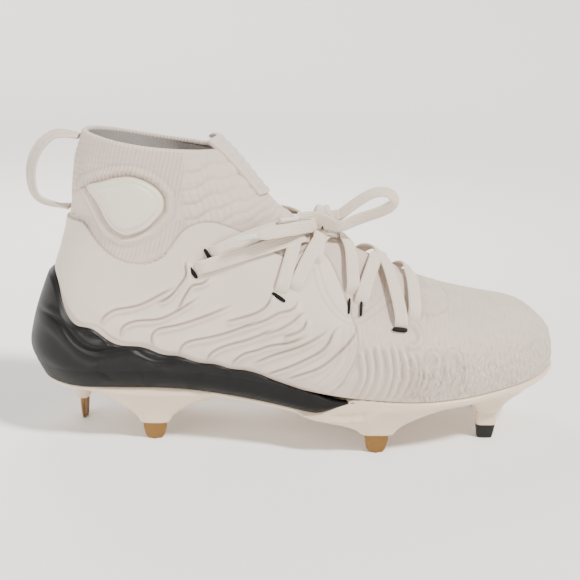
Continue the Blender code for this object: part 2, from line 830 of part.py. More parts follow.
def build_pad(side, paint, home):
    """Raised soft pad over the ankle."""
    def place(row, share):
        x = PAD_CENTRE[0] + (row[0] - PAD_CENTRE[0]) * share
        z = PAD_CENTRE[1] + (row[1] - PAD_CENTRE[1]) * share
        return x * LENGTH, BALL_STACK + z * COLLAR_BACK

    rows = []
    for share in PAD_UNDER:
        rows.append(np.array([side_point(side, *place(row, share), PAD_LIFT) for row in PAD]))
    for share, rise in PAD_DOME:
        rows.append(np.array([side_point(side, *place(row, share), rise * PAD_RISE) for row in PAD]))
    points, numbers = stacked(rows)
    middle = place(PAD_CENTRE, 0.0)
    under, over = len(points), len(points) + 1
    ends = [side_point(side, *middle, PAD_LIFT), side_point(side, *middle, PAD_RISE)]
    points = np.concatenate([points, ends])
    n = len(PAD)
    faces = []
    for a, b in zip(numbers[:-1], numbers[1:]):
        faces += ring_faces(a, b)
    for i in range(n):
        faces.append((numbers[0][i], numbers[0][(i + 1) % n], under))
        faces.append((numbers[-1][i], numbers[-1][(i + 1) % n], over))
    name = "ankle_pad_lateral" if side < 0 else "ankle_pad_medial"
    return solid(name, points, faces, paint, home)


def build_pull_loop(paint, home):
    """Webbing loop from low on the heel out and back to the collar."""
    line = np.array([(a * HEEL_LEAN, BALL_STACK + h * COLLAR_BACK) for a, h in PULL_LOOP])
    steps = np.arange(len(line))
    fine = np.linspace(0, len(line) - 1, LOOP_STEPS)
    xs = smooth_curve(steps, line[:, 0])(fine)
    zs = smooth_curve(steps, line[:, 1])(fine)
    dx, dz = np.gradient(xs), np.gradient(zs)
    size = np.hypot(dx, dz)
    nx, nz = -dz / size, dx / size
    half = LOOP_WIDTH / 2
    inner, outer = [], []
    for side in (-1, 1):
        across = np.full(LOOP_STEPS, side * half)
        inner.append(np.stack([xs + nx * LOOP_THICK / 2, across, zs + nz * LOOP_THICK / 2], 1))
        outer.append(np.stack([xs - nx * LOOP_THICK / 2, across, zs - nz * LOOP_THICK / 2], 1))
    return sheet_solid("pull_loop", np.array(inner), np.array(outer), paint, home)


def front_patch(t, d):
    """Point and direction out of the skin beside the front's centre, at a distance d round the shoe."""
    side = -1 if d < 0 else 1
    ring = side_ring(side, min(t, 1.0))[::-1]
    run = np.concatenate([[0], np.cumsum(np.linalg.norm(np.diff(ring, axis=0), axis=1))])
    return np.array([np.interp(abs(d), run, ring[:, k]) for k in range(3)])


def build_tab(paint, home):
    """Pull tab on the throat that stands above the collar."""
    across = np.linspace(-TAB_HALF, TAB_HALF, 7)
    rows = [[front_patch(t, d) for d in across] for t in np.linspace(TAB_LOW, 1.0, 5)]
    rows = np.array(rows)
    last = rows[-1] - rows[-2]
    last = last / np.linalg.norm(last, axis=1, keepdims=True)
    more = []
    for share in (0.5, 1.0):
        bend = 1 - 0.25 * (across / TAB_HALF) ** 4
        more.append(rows[-1] + last * TAB_RISE * share * bend[:, None] + np.array([-0.0010 * share, 0, 0]))
    grid = np.concatenate([rows, more])
    n = np.cross(np.gradient(grid, axis=1), np.gradient(grid, axis=0))
    n = n / np.linalg.norm(n, axis=2, keepdims=True)
    return sheet_solid("tongue_tab", grid + n * TAB_LIFT, grid + n * (TAB_LIFT + TAB_THICK), paint, home)


def depth_in(p):
    """How far inside the skin a point lies across the shoe; negative outside."""
    x, y, z = p
    side = -1 if y < centre_y(x) else 1
    return float(half_breadth(side, x, z) - abs(y - centre_y(x)))


def skin_way(p):
    """Way out of the skin at a point."""
    e = 0.0006
    n = np.array([depth_in(p - step) - depth_in(p + step) for step in np.eye(3) * e])
    return n / np.linalg.norm(n)


def lay_on_skin(p, way):
    """Where a line from p along a direction leaves the skin, and the way out there."""
    far = 0.0
    for h in np.linspace(-0.004, 0.070, 75):
        if depth_in(p + way * h) > 0:
            far = h
    low, high = far, far + 0.001
    for _ in range(14):
        h = (low + high) / 2
        if depth_in(p + way * h) > 0:
            low = h
        else:
            high = h
    q = p + way * low
    return q, skin_way(q)


def lace_line(bar):
    """Middle line of a lace bar over the throat, with the way out at each point."""
    a_side, a_x, a_z, b_side, b_x, b_z, extra = bar
    a = side_point(a_side, a_x * LENGTH, a_z * THROAT_HEIGHT, 0.0)
    b = side_point(b_side, b_x * LENGTH, b_z * THROAT_HEIGHT, 0.0)
    way = skin_way(a) + skin_way(b)
    way = way / np.linalg.norm(way)
    spots, outs = [], []
    for k in np.linspace(0, 1, LACE_STEPS):
        q, n = lay_on_skin(a + (b - a) * k, way)
        lift = LACE_LOW + (LACE_HIGH - LACE_LOW) * abs(2 * k - 1) ** 0.7
        lift += extra * math.sin(math.pi * k) ** 0.5
        spots.append(q + n * lift)
        outs.append(n)
    return np.array(spots), np.array(outs)


def strip(name, spots, outs, width, thick, paint, home):
    """Flat strip along a line; its underside lies on the line."""
    along = np.gradient(spots, axis=0)
    along = along / np.linalg.norm(along, axis=1, keepdims=True)
    across = np.cross(along, outs)
    across = across / np.linalg.norm(across, axis=1, keepdims=True)
    outs = np.cross(across, along)
    rows = np.array([spots - across * width / 2, spots + across * width / 2])
    return sheet_solid(name, rows, rows + outs * thick, paint, home)


def build_laces(paint, home, tools):
    """All bars over the throat, joined where they cross."""
    whole = None
    for bar in LACE_BARS:
        spots, outs = lace_line(bar)
        if whole is None:
            whole = strip("lace_bars", spots, outs, LACE_WIDTH, LACE_THICK, paint, home)
        else:
            cut(whole, strip("lace_bar", spots, outs, LACE_WIDTH, LACE_THICK, paint, tools), "UNION")


def build_cord(name, route, paint, home):
    """Free run of lace: a tube along a smooth curve through its route."""
    points = np.array(route)
    steps = np.arange(len(points))
    fine = np.linspace(0, len(points) - 1, 300)
    line = np.stack([smooth_curve(steps, points[:, k])(fine) for k in range(3)], 1)
    length = np.linalg.norm(np.diff(line, axis=0), axis=1).sum()
    spots = even(line, int(round(length / CORD_STEP)) + 1)
    curve = bpy.data.curves.new(name, "CURVE")
    curve.dimensions = "3D"
    curve.bevel_depth = CORD_RADIUS
    curve.bevel_resolution = 2
    curve.use_fill_caps = True
    spline = curve.splines.new("POLY")
    spline.points.add(len(spots) - 1)
    for point, spot in zip(spline.points, spots):
        point.co = (*spot, 1)
    curve.materials.append(paint)
    thing = bpy.data.objects.new(name, curve)
    home.objects.link(thing)
    print(name, "length", round(float(length), 4))
    return thing


def build_knot(paint, home):
    rows = []
    for turn in np.linspace(-math.pi / 2, math.pi / 2, 7)[1:-1]:
        ring = []
        for around in np.linspace(0, 2 * math.pi, 10, endpoint=False):
            level = math.cos(turn)
            ring.append((math.sin(turn), level * math.cos(around), level * math.sin(around)))
        rows.append(np.array(ring) * KNOT_HALF + KNOT)
    points, numbers = stacked(rows)
    faces = [tuple(numbers[0]), tuple(numbers[-1])]
    for a, b in zip(numbers[:-1], numbers[1:]):
        faces += ring_faces(a, b)
    return solid("lace_knot", points, faces, paint, home)


def clear_scene():
    for thing in list(bpy.data.objects):
        bpy.data.objects.remove(thing, do_unlink=True)


def new_collection(name):
    home = bpy.data.collections.new(name)
    bpy.context.scene.collection.children.link(home)
    return home


clear_scene()
cleat = new_collection("field_cleat")
cutters = new_collection("cutters")

knit = material("knit", (0.80, 0.74, 0.69), 0.85)
film = material("film", (0.84, 0.79, 0.74), 0.45)
foam = material("foam", (0.02, 0.02, 0.02), 0.55)
plate_plastic = material("plate_plastic", (0.80, 0.72, 0.62), 0.35)
bronze = material("bronze", (0.50, 0.38, 0.20), 0.30, 1.0)
stud_black = material("stud_black", (0.02, 0.02, 0.02), 0.45)
pad_rubber = material("pad_rubber", (0.80, 0.72, 0.58), 0.40)
webbing = material("webbing", (0.82, 0.74, 0.66), 0.80)
lace_cloth = material("lace_cloth", (0.88, 0.83, 0.74), 0.75)
lining = material("lining", (0.55, 0.52, 0.50), 0.90)

build_upper(knit, cleat)
build_quarter(film, cleat, cutters)
build_midsole(foam, cleat)
build_plate(plate_plastic, cleat, cutters)
for pod in PODS:
    build_blade(pod, stud_black if pod[0].startswith("toe") else bronze, cleat)
build_insole(lining, cleat)
build_pad(-1, pad_rubber, cleat)
build_pad(1, pad_rubber, cleat)
build_pull_loop(webbing, cleat)
build_tab(webbing, cleat)
build_laces(lace_cloth, cleat, cutters)
build_knot(lace_cloth, cleat)
build_cord("lace_bow", BOW_ROUTE, lace_cloth, cleat)
build_cord("lace_end", END_ROUTE, lace_cloth, cleat)


def settle(home):
    """Move everything so that the origin lies at the middle of the base."""
    bpy.context.view_layer.update()
    solids = [thing for thing in home.objects if thing.type == "MESH" and thing.name != "lace_knot"]
    corners = np.array([thing.matrix_world @ v.co for thing in solids for v in thing.data.vertices])
    middle = (corners.min(axis=0) + corners.max(axis=0)) / 2
    for thing in home.objects:
        thing.location.x -= middle[0]
        thing.location.y -= middle[1]
    print("moved by", -middle[0], -middle[1])


settle(cleat)
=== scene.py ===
"""Looks of a mid-top field cleat: knit and film upper, sculpted foam, plate, blades, laces and tabs.

Shapes follow the same sizes and curves as the solids; x = 0 is the upper's heel until SHIFT is added.
"""

import math

import bpy
import numpy as np
from mathutils import Matrix, Vector


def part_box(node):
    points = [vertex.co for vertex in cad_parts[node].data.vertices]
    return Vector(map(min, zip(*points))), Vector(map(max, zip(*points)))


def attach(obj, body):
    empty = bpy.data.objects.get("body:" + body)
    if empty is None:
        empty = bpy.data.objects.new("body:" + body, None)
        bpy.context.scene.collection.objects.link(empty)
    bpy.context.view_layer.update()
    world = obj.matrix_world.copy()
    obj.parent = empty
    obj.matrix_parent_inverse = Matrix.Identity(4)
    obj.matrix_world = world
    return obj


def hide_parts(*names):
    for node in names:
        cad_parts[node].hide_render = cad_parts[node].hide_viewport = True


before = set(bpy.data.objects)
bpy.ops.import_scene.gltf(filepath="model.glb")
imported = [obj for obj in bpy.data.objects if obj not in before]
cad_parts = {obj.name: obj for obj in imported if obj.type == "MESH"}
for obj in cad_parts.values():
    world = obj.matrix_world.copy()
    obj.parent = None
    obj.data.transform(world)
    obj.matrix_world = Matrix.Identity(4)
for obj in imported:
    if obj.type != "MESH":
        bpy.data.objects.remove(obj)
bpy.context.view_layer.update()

# Driving sizes
LENGTH = 0.2905
BALL_WIDTH = 0.100
BALL_STACK = 0.0325
HEEL_DROP = 0.0115
TOE_SPRING = 0.0065
THROAT_HEIGHT = 0.128
COLLAR_BACK = 0.135
COLLAR_FRONT = 0.0995
HEEL_LEAN = 0.0205
ANKLE_WIDTH = 0.063
TOE_SWING = 0.009
TOE_ROUND = 0.036
FEATHER_TUCK = 0.0025
BELLY = 0.016
COLLAR_DIP = 0.002
SHAFT_LOW = 0.030
SHAFT_HIGH = 0.075
ROUNDING = 2.2
TOE_ROUNDING = 2.5
TOP_ROUNDING = 2.2
FRONT_POWER = 1.25

# Fits and walls
GAP = 0.0003
WALL = 0.0020
INSOLE = 0.0040
PLATE = 0.0033
RIM = 0.0052
RIM_PROUD = 0.0012

# Outline of the last seen from above: widths as shares of BALL_WIDTH, swing as a share of TOE_SWING
PLAN = (
    # along, lateral, medial, swing
    (0.00, 0.330, 0.330, 0.00),
    (0.11, 0.340, 0.335, 0.00),
    (0.21, 0.345, 0.330, 0.00),
    (0.32, 0.362, 0.315, 0.00),
    (0.42, 0.405, 0.312, 0.02),
    (0.50, 0.460, 0.345, 0.06),
    (0.57, 0.505, 0.390, 0.11),
    (0.64, 0.533, 0.433, 0.17),
    (0.69, 0.543, 0.457, 0.24),
    (0.75, 0.530, 0.463, 0.34),
    (0.82, 0.483, 0.430, 0.52),
    (0.88, 0.420, 0.386, 0.68),
    (0.93, 0.362, 0.338, 0.80),
    (0.965, 0.318, 0.300, 0.90),
    (1.00, 0.270, 0.262, 1.00),
)

# Outline seen from the side: top and depth as shares of THROAT_HEIGHT, drop of HEEL_DROP,
# spring of TOE_SPRING
SIDE = (
    # along, top, depth, drop, spring
    (0.000, 1.960, 0.50, 1.00, 0.00),
    (0.177, 1.410, 0.50, 0.99, 0.00),
    (0.246, 1.222, 0.49, 0.97, 0.00),
    (0.294, 1.092, 0.47, 0.92, 0.00),
    (0.3425, 0.986, 0.45, 0.80, 0.00),
    (0.380, 0.888, 0.43, 0.70, 0.00),
    (0.412, 0.802, 0.41, 0.58, 0.00),
    (0.453, 0.722, 0.40, 0.42, 0.00),
    (0.504, 0.655, 0.38, 0.25, 0.00),
    (0.556, 0.597, 0.36, 0.12, 0.00),
    (0.618, 0.533, 0.34, 0.04, 0.00),
    (0.680, 0.470, 0.32, 0.00, 0.00),
    (0.745, 0.415, 0.30, 0.00, 0.05),
    (0.814, 0.375, 0.28, 0.00, 0.20),
    (0.883, 0.348, 0.26, 0.00, 0.45),
    (0.952, 0.328, 0.25, 0.00, 0.75),
    (1.000, 0.316, 0.24, 0.00, 1.00),
)

# Heel line: height as a share of COLLAR_BACK, lean of HEEL_LEAN, round of ANKLE_WIDTH
BACK = (
    # height, lean, round
    (-0.04, 0.20, 0.43),
    (0.05, 0.06, 0.44),
    (0.16, 0.00, 0.46),
    (0.28, 0.02, 0.49),
    (0.39, 0.12, 0.54),
    (0.47, 0.25, 0.59),
    (0.55, 0.42, 0.63),
    (0.66, 0.60, 0.67),
    (0.80, 0.74, 0.67),
    (0.92, 0.86, 0.65),
    (1.00, 1.00, 0.63),
    (1.15, 1.30, 0.63),
)

# Midsole: along as a share of LENGTH, edge and base heights as shares of BALL_STACK,
# bulge of the wall as a share of HEEL_FLARE
HEEL_FLARE = 0.0095
MIDSOLE = (
    # along, edge, base, bulge
    (0.000, 2.86, 1.06, 1.00),
    (0.030, 2.66, 1.06, 0.72),
    (0.060, 2.26, 1.05, 0.56),
    (0.100, 2.05, 1.05, 0.47),
    (0.140, 1.83, 1.05, 0.42),
    (0.190, 1.70, 1.05, 0.40),
    (0.250, 1.56, 1.04, 0.37),
    (0.320, 1.42, 0.98, 0.34),
    (0.390, 1.26, 0.90, 0.32),
    (0.450, 1.14, 0.82, 0.30),
    (0.510, 1.06, 0.75, 0.27),
    (0.560, 1.04, 0.76, 0.24),
    (0.600, 1.04, 0.80, 0.20),
)

# Outline of the quarter overlay in the side view: shares of LENGTH and THROAT_HEIGHT from the floor
QUARTER_TOP = (
    # along, height
    (-0.020, 0.955),
    (0.055, 0.955),
    (0.080, 0.950),
    (0.097, 0.905),
    (0.112, 0.865),
    (0.132, 0.828),
    (0.155, 0.805),
    (0.182, 0.797),
    (0.205, 0.806),
    (0.225, 0.832),
    (0.243, 0.885),
    (0.262, 0.940),
    (0.283, 0.968),
    (0.303, 0.976),
    (0.325, 0.968),
    (0.352, 0.944),
    (0.380, 0.912),
    (0.405, 0.875),
    (0.428, 0.842),
    (0.450, 0.822),
    (0.475, 0.838),
    (0.503, 0.852),
    (0.522, 0.820),
    (0.541, 0.750),
    (0.556, 0.665),
    (0.568, 0.590),
    (0.576, 0.520),
    (0.573, 0.450),
    (0.560, 0.380),
    (0.541, 0.305),
    (0.521, 0.262),
)

# Ankle pads in the side view: shares of LENGTH and COLLAR_BACK above the ball's stack
PAD_CENTRE = (0.172, 0.745)
PAD = (
    # along, height
    (0.090, 0.806),
    (0.112, 0.828),
    (0.140, 0.848),
    (0.168, 0.856),
    (0.193, 0.842),
    (0.212, 0.818),
    (0.226, 0.780),
    (0.226, 0.728),
    (0.213, 0.690),
    (0.196, 0.655),
    (0.174, 0.634),
    (0.156, 0.628),
    (0.134, 0.655),
    (0.120, 0.700),
    (0.106, 0.757),
)

# Pull loop behind the collar: along as a share of HEEL_LEAN, height of COLLAR_BACK
LOOP_WIDTH = 0.0130
LOOP_THICK = 0.0020
PULL_LOOP = (
    # along, height
    (0.605, 0.692),
    (0.350, 0.695),
    (0.080, 0.703),
    (-0.180, 0.720),
    (-0.340, 0.756),
    (-0.385, 0.818),
    (-0.310, 0.878),
    (-0.120, 0.932),
    (0.120, 0.967),
    (0.420, 0.984),
    (0.915, 0.975),
)

# Tab at the front of the collar
TAB_HALF = 0.0165
TAB_THICK = 0.0016
TAB_LIFT = 0.0008
TAB_LOW = 0.895
TAB_RISE = 0.0100

# Flat lace: each bar runs from one place of the side view to another, as shares of LENGTH and
# THROAT_HEIGHT from the floor, and rises over the bars that it crosses by its own extra lift
LACE_WIDTH = 0.0072
LACE_THICK = 0.0016
LACE_HIGH = 0.0025
LACE_LOW = 0.0014
LACE_STEPS = 11
LACE_BARS = (
    # side, along, height, side, along, height, extra
    (-1, 0.682, 0.600, 1, 0.676, 0.610, 0.0000),
    (-1, 0.584, 0.655, 1, 0.660, 0.600, 0.0008),
    (-1, 0.656, 0.575, 1, 0.586, 0.660, 0.0017),
    (-1, 0.462, 0.700, 1, 0.592, 0.650, 0.0004),
    (-1, 0.570, 0.690, 1, 0.520, 0.735, 0.0013),
    (-1, 0.438, 0.690, 1, 0.478, 0.760, 0.0000),
    (-1, 0.500, 0.800, 1, 0.430, 0.680, 0.0008),
    (-1, 0.284, 0.785, -1, 0.482, 0.890, 0.0002),
    (-1, 0.312, 0.850, -1, 0.482, 0.930, 0.0002),
    (1, 0.284, 0.785, 1, 0.482, 0.895, 0.0002),
    (1, 0.312, 0.850, 1, 0.482, 0.935, 0.0002),
)

# Bow: the knot, and the two free runs of lace from it, in metres before the move to the origin
KNOT = (0.1500, -0.0080, 0.1238)
KNOT_HALF = (0.0062, 0.0040, 0.0038)
BOW_ROUTE = (
    (0.1590, -0.0085, 0.1250),
    (0.1655, -0.0095, 0.1305),
    (0.1730, -0.0105, 0.1362),
    (0.1800, -0.0115, 0.1392),
    (0.1860, -0.0120, 0.1385),
    (0.1885, -0.0120, 0.1348),
    (0.1860, -0.0115, 0.1308),
    (0.1795, -0.0110, 0.1275),
    (0.1720, -0.0110, 0.1248),
    (0.1650, -0.0120, 0.1220),
    (0.1580, -0.0145, 0.1205),
    (0.1510, -0.0150, 0.1235),
    (0.1440, -0.0150, 0.1250),
    (0.1380, -0.0180, 0.1250),
    (0.1320, -0.0215, 0.1250),
    (0.1260, -0.0245, 0.1250),
)
END_ROUTE = (
    (0.1440, -0.0170, 0.1210),
    (0.1380, -0.0230, 0.1212),
    (0.1310, -0.0285, 0.1212),
    (0.1240, -0.0332, 0.1210),
    (0.1170, -0.0366, 0.1203),
    (0.1100, -0.0388, 0.1192),
    (0.1030, -0.0400, 0.1178),
)

# Pods under the plate and the blades in them. Places as shares of LENGTH and BALL_WIDTH,
# reaches of the pod's top and foot as shares of BALL_WIDTH, foot height as a share of BALL_STACK
PODS = (
    # name, along, across, top_back, top_front, top_half, foot_half_x, foot_half_y, foot_height, top_across
    ("heel_lateral", 0.205, -0.250, 0.40, 0.44, 0.13, 0.085, 0.045, 0.31, -0.235),
    ("heel_medial", 0.205, 0.250, 0.40, 0.44, 0.13, 0.085, 0.045, 0.31, 0.215),
    ("rear", 0.055, 0.050, 0.09, 0.22, 0.18, 0.040, 0.085, 0.42, 0.020),
    ("ball_lateral", 0.625, -0.420, 0.46, 0.42, 0.13, 0.095, 0.045, 0.33, -0.385),
    ("ball_medial", 0.600, 0.360, 0.40, 0.42, 0.13, 0.095, 0.045, 0.33, 0.330),
    ("toe_lateral", 0.852, -0.215, 0.20, 0.20, 0.13, 0.075, 0.060, 0.50, -0.215),
    ("toe_medial", 0.866, 0.275, 0.18, 0.18, 0.10, 0.070, 0.055, 0.50, 0.270),
)
BLADE_WIDTH = 0.0130
BLADE_THICK = 0.0026
BLADE_TAPER = 0.80
STUD_WIDTH = 0.0120
STUD_THICK = 0.0065

COLUMNS = 56
MIDSOLE_COLUMNS = 16

MIDSOLE_WALL = (
    # height from base to edge, share of the bulge
    (0.00, 0.35),
    (0.13, 0.76),
    (0.27, 1.00),
    (0.42, 0.88),
    (0.56, 0.70),
    (0.72, 0.48),
    (0.87, 0.30),
    (1.00, 0.16),
)


# Camera, in the frame
CAMERA_AT = (-0.03813, -0.49566, 0.22464)
CAMERA_RIGHT = (0.99812552, -0.05349104, 0.0297346)
CAMERA_UP = (-0.01357186, 0.28029678, 0.95981744)
CAMERA_AHEAD = (0.05967614, 0.95842184, -0.2790454)
CAMERA_LENS = 56.67

# Fineness of the skin: rows from floor to collar, columns of each half ring
SKIN_ROWS = 330
LATERAL_COLUMNS = 560
LATERAL_SPLIT = 285
MEDIAL_COLUMNS = 290

# Relief of the skin, in metres
FILM_STEP = 0.0010
FILM_SOFT = 0.0004
RIDGE_HIGH = 0.00150
RIDGE_WIDE = 0.0014
RIDGE_OFF = 0.0013
GROOVE_DEEP = 0.00100
GROOVE_WIDE = 0.00055
CORD_HIGH = 0.00135
CORD_WIDE = 0.00115
PUFF_HIGH = 0.00150
PUFF_STEP = 0.0078
PUFF_BASE = (0.075, 0.1175)
PUFF_SLOPE = 0.38

# Raised contour lines of the film, from the sole upward: shares of LENGTH and THROAT_HEIGHT
CONTOURS = (
    ((.110, .526), (.112, .552), (.121, .582), (.136, .604), (.154, .613), (.174, .622), (.201, .648),
     (.228, .683), (.255, .713)),
    ((.147, .475), (.146, .501), (.151, .532), (.166, .554), (.186, .563), (.215, .569), (.246, .600),
     (.273, .639), (.300, .678)),
    ((.207, .437), (.204, .468), (.204, .499), (.211, .521), (.228, .535), (.255, .549), (.291, .577),
     (.328, .613), (.360, .644)),
    ((.255, .398), (.255, .435), (.262, .463), (.277, .481), (.297, .492), (.337, .517), (.374, .551),
     (.404, .580)),
    ((.305, .373), (.306, .402), (.314, .431), (.327, .450), (.347, .470), (.374, .491), (.405, .522),
     (.437, .560)),
    ((.351, .360), (.353, .389), (.362, .414), (.374, .434), (.394, .450), (.416, .472), (.447, .491),
     (.473, .513), (.495, .542)),
    ((.212, .636), (.230, .654), (.244, .683), (.257, .721), (.266, .763), (.266, .809), (.273, .826)),
    ((.250, .608), (.259, .646), (.268, .684), (.280, .714), (.291, .719), (.304, .736), (.313, .757)),
    ((.335, .563), (.364, .583), (.397, .611), (.415, .645), (.422, .700)),
    ((.368, .546), (.397, .567), (.419, .590), (.437, .612), (.458, .626), (.467, .653), (.467, .675)),
    ((.407, .522), (.428, .538), (.451, .566), (.466, .592), (.478, .613), (.487, .617)),
    ((.443, .516), (.466, .537), (.478, .555), (.484, .583), (.484, .598)),
    ((.386, .385), (.420, .428), (.453, .461), (.483, .494), (.509, .532), (.520, .557), (.521, .580)),
    ((.407, .331), (.430, .362), (.457, .391), (.489, .434), (.513, .474), (.527, .519), (.536, .559),
     (.554, .579)),
    ((.445, .322), (.476, .359), (.508, .394), (.537, .453), (.556, .503), (.572, .555), (.578, .605)),
)

# Upright cords of the forefoot, from the top down
CORDS = (
    ((.559, .590), (.557, .524), (.553, .455), (.532, .360), (.500, .290)),
    ((.577, .591), (.577, .506), (.568, .419), (.545, .324), (.520, .280)),
    ((.581, .486), (.590, .378), (.572, .256)),
    ((.595, .508), (.603, .380), (.587, .253)),
    ((.609, .517), (.619, .381), (.605, .256)),
    ((.625, .510), (.637, .383), (.623, .258)),
    ((.640, .514), (.650, .384), (.638, .260)),
    ((.654, .499), (.667, .398), (.653, .261)),
    ((.669, .491), (.684, .385), (.663, .267)),
    ((.688, .480), (.693, .400), (.676, .270)),
    ((.683, .273), (.702, .398), (.701, .452), (.710, .474), (.720, .465), (.724, .415), (.704, .277)),
    ((.727, .279), (.742, .395), (.741, .450), (.751, .473), (.762, .460), (.768, .415), (.750, .285)),
    ((.771, .285), (.779, .387), (.772, .446)),
    ((.662, .600), (.674, .586), (.688, .559), (.690, .526), (.677, .502), (.662, .510)),
)

# Faint seams of the instep
SEAMS = (
    ((.505, .800), (.514, .735), (.528, .665), (.563, .604), (.601, .637), (.633, .690), (.636, .735)),
    ((.496, .772), (.506, .700), (.524, .637), (.563, .583), (.604, .611), (.645, .657)),
    ((.704, .684), (.735, .672), (.764, .656), (.760, .625), (.744, .603), (.715, .600), (.693, .614)),
)

# Stitched seam under the ankle pad
STITCH_SEAM = (
    (.055, .977), (.079, .953), (.096, .906), (.110, .867), (.131, .828), (.148, .805), (.165, .797),
    (.182, .797), (.200, .805), (.220, .828), (.244, .875), (.262, .925),
)
STITCH_LONG = 0.0022
STITCH_STEP = 0.0034
STITCH_WIDE = 0.00035

# Top edge of the foam: shares of LENGTH and THROAT_HEIGHT
FOAM_EDGE = (
    (.000, .726), (.018, .712), (.032, .672), (.047, .605), (.060, .560), (.074, .534), (.090, .528),
    (.108, .518), (.124, .488), (.142, .460), (.163, .450), (.182, .449), (.200, .440), (.217, .422),
    (.235, .411), (.250, .409), (.266, .400), (.284, .384), (.303, .377), (.318, .376), (.334, .368),
    (.348, .358), (.363, .355), (.378, .354), (.392, .348), (.405, .340), (.425, .322), (.450, .304),
    (.479, .284), (.510, .268), (.560, .262), (.600, .262),
)

# Flowing folds of the foam: shares of LENGTH and THROAT_HEIGHT, then height and width in metres
FOAM_FOLDS = (
    (((-.02, .585), (.020, .583), (.045, .560), (.065, .510), (.090, .468), (.115, .458), (.140, .470),
      (.165, .468), (.185, .445), (.205, .425), (.225, .425), (.245, .440)), .0013, .0016),
    (((-.02, .560), (.020, .556), (.042, .525), (.062, .475), (.090, .437), (.115, .430), (.140, .445),
      (.165, .447), (.185, .425), (.205, .402), (.228, .400), (.250, .416)), -.0011, .0010),
    (((-.02, .520), (.020, .515), (.045, .480), (.070, .430), (.105, .395), (.140, .405), (.170, .420),
      (.200, .395), (.235, .372), (.270, .372), (.300, .362)), .0016, .0032),
    (((.070, .525), (.095, .500), (.115, .480), (.130, .465)), -.0009, .0018),
    (((.175, .440), (.195, .432), (.215, .412)), -.0010, .0013),
    (((.262, .395), (.280, .378), (.297, .360)), -.0008, .0022),
    (((.330, .365), (.345, .350), (.356, .335)), -.0007, .0020),
    (((.108, .400), (.120, .360), (.112, .310)), -.0014, .0050),
    (((.215, .385), (.205, .345), (.180, .310)), -.0012, .0055),
    (((.300, .360), (.290, .325), (.262, .300)), -.0009, .0050),
)
FOAM_ROWS = 90
FOAM_LIP = 0.0014
FOAM_FINE = 12
PLATE_RISE = 2.2

# Eyelets: place in the side view, half sizes and slope of the slot
EYELETS = (
    # along, height, half_long, half_wide, slope
    (.653, .561, .0041, .0009, -.10),
    (.434, .672, .0042, .0010, -.55),
    (.2775, .7700, .0042, .0011, -.95),
    (.3045, .8440, .0034, .0010, -1.05),
    (.681, .610, .0012, .0012, -.60),
    (.562, .641, .0034, .0007, 1.45),
    (.584, .634, .0034, .0007, 1.45),
)
EYELET_LIFT = 0.0016
EYELET_RISE = 0.0005

# Flat lace and its tip
LACE_ACROSS = 12
KNOT_WRAP = (0.0050, 0.0058)
LACE_REACH = 0.0012
LACE_DIVE = 0.0060
TIP_LONG = 0.011
TIP_RADIUS = 0.0015

# Collar, linings and tabs
COLLAR_RADIUS = 0.0016
LINING_ROWS = 70
LINING_COLUMNS = 110
PLATE_CELL = 0.00105
PLATE_SOFTENING = 5
PAD_RINGS = 26
PAD_AROUND = 120
PAD_TOP = 0.0050
LOOP_TWIST = 0.55
SWEEP_BACK = 2.0
SWEEP_ROUND = 1.8
SWEEP_TURN = 1.45
LAMPS = (
    # name, kind, place, size or angle, power
    ("key", "SUN", (0.60, -0.42, 0.90), 0.16, 5.2),
    ("side", "AREA", (-0.7, -0.6, 0.45), 0.5, 3.0),
    ("rim", "AREA", (-0.2, 0.6, 0.7), 0.5, 5.0),
)


def build_camera():
    data = bpy.data.cameras.new("camera")
    data.lens = CAMERA_LENS
    data.clip_start = 0.01
    thing = bpy.data.objects.new("camera", data)
    place = np.eye(4)
    place[:3, 0] = CAMERA_RIGHT
    place[:3, 1] = CAMERA_UP
    place[:3, 2] = -np.array(CAMERA_AHEAD)
    place[:3, 3] = CAMERA_AT
    thing.matrix_world = Matrix(place.tolist())
    bpy.context.scene.collection.objects.link(thing)
    bpy.context.scene.camera = thing


knot_box = np.array(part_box("lace_knot"))
SHIFT = knot_box.mean(axis=0) - np.array(KNOT)
SHIFT[2] = 0


def smooth_curve(places, values):
    """Value at any place of the natural cubic through the given points, level beyond the ends."""
    x = np.array(places, float)
    y = np.array(values, float)
    n = len(x)
    step = np.diff(x)
    rows = np.zeros((n, n))
    right = np.zeros(n)
    rows[0, 0] = 1
    rows[-1, -1] = 1
    for i in range(1, n - 1):
        rows[i, i - 1:i + 2] = step[i - 1], 2 * (step[i - 1] + step[i]), step[i]
        right[i] = 6 * ((y[i + 1] - y[i]) / step[i] - (y[i] - y[i - 1]) / step[i - 1])
    bend = np.linalg.solve(rows, right)

    def value(at):
        at = np.clip(at, x[0], x[-1])
        i = np.clip(np.searchsorted(x, at, side="right") - 1, 0, n - 2)
        after = at - x[i]
        before = x[i + 1] - at
        curve = (bend[i] * before ** 3 + bend[i + 1] * after ** 3) / (6 * step[i])
        start = (y[i] / step[i] - bend[i] * step[i] / 6) * before
        end = (y[i + 1] / step[i] - bend[i + 1] * step[i] / 6) * after
        return curve + start + end

    return value


def column(table, k, along, size):
    return smooth_curve([row[0] * along for row in table], [row[k] * size for row in table])


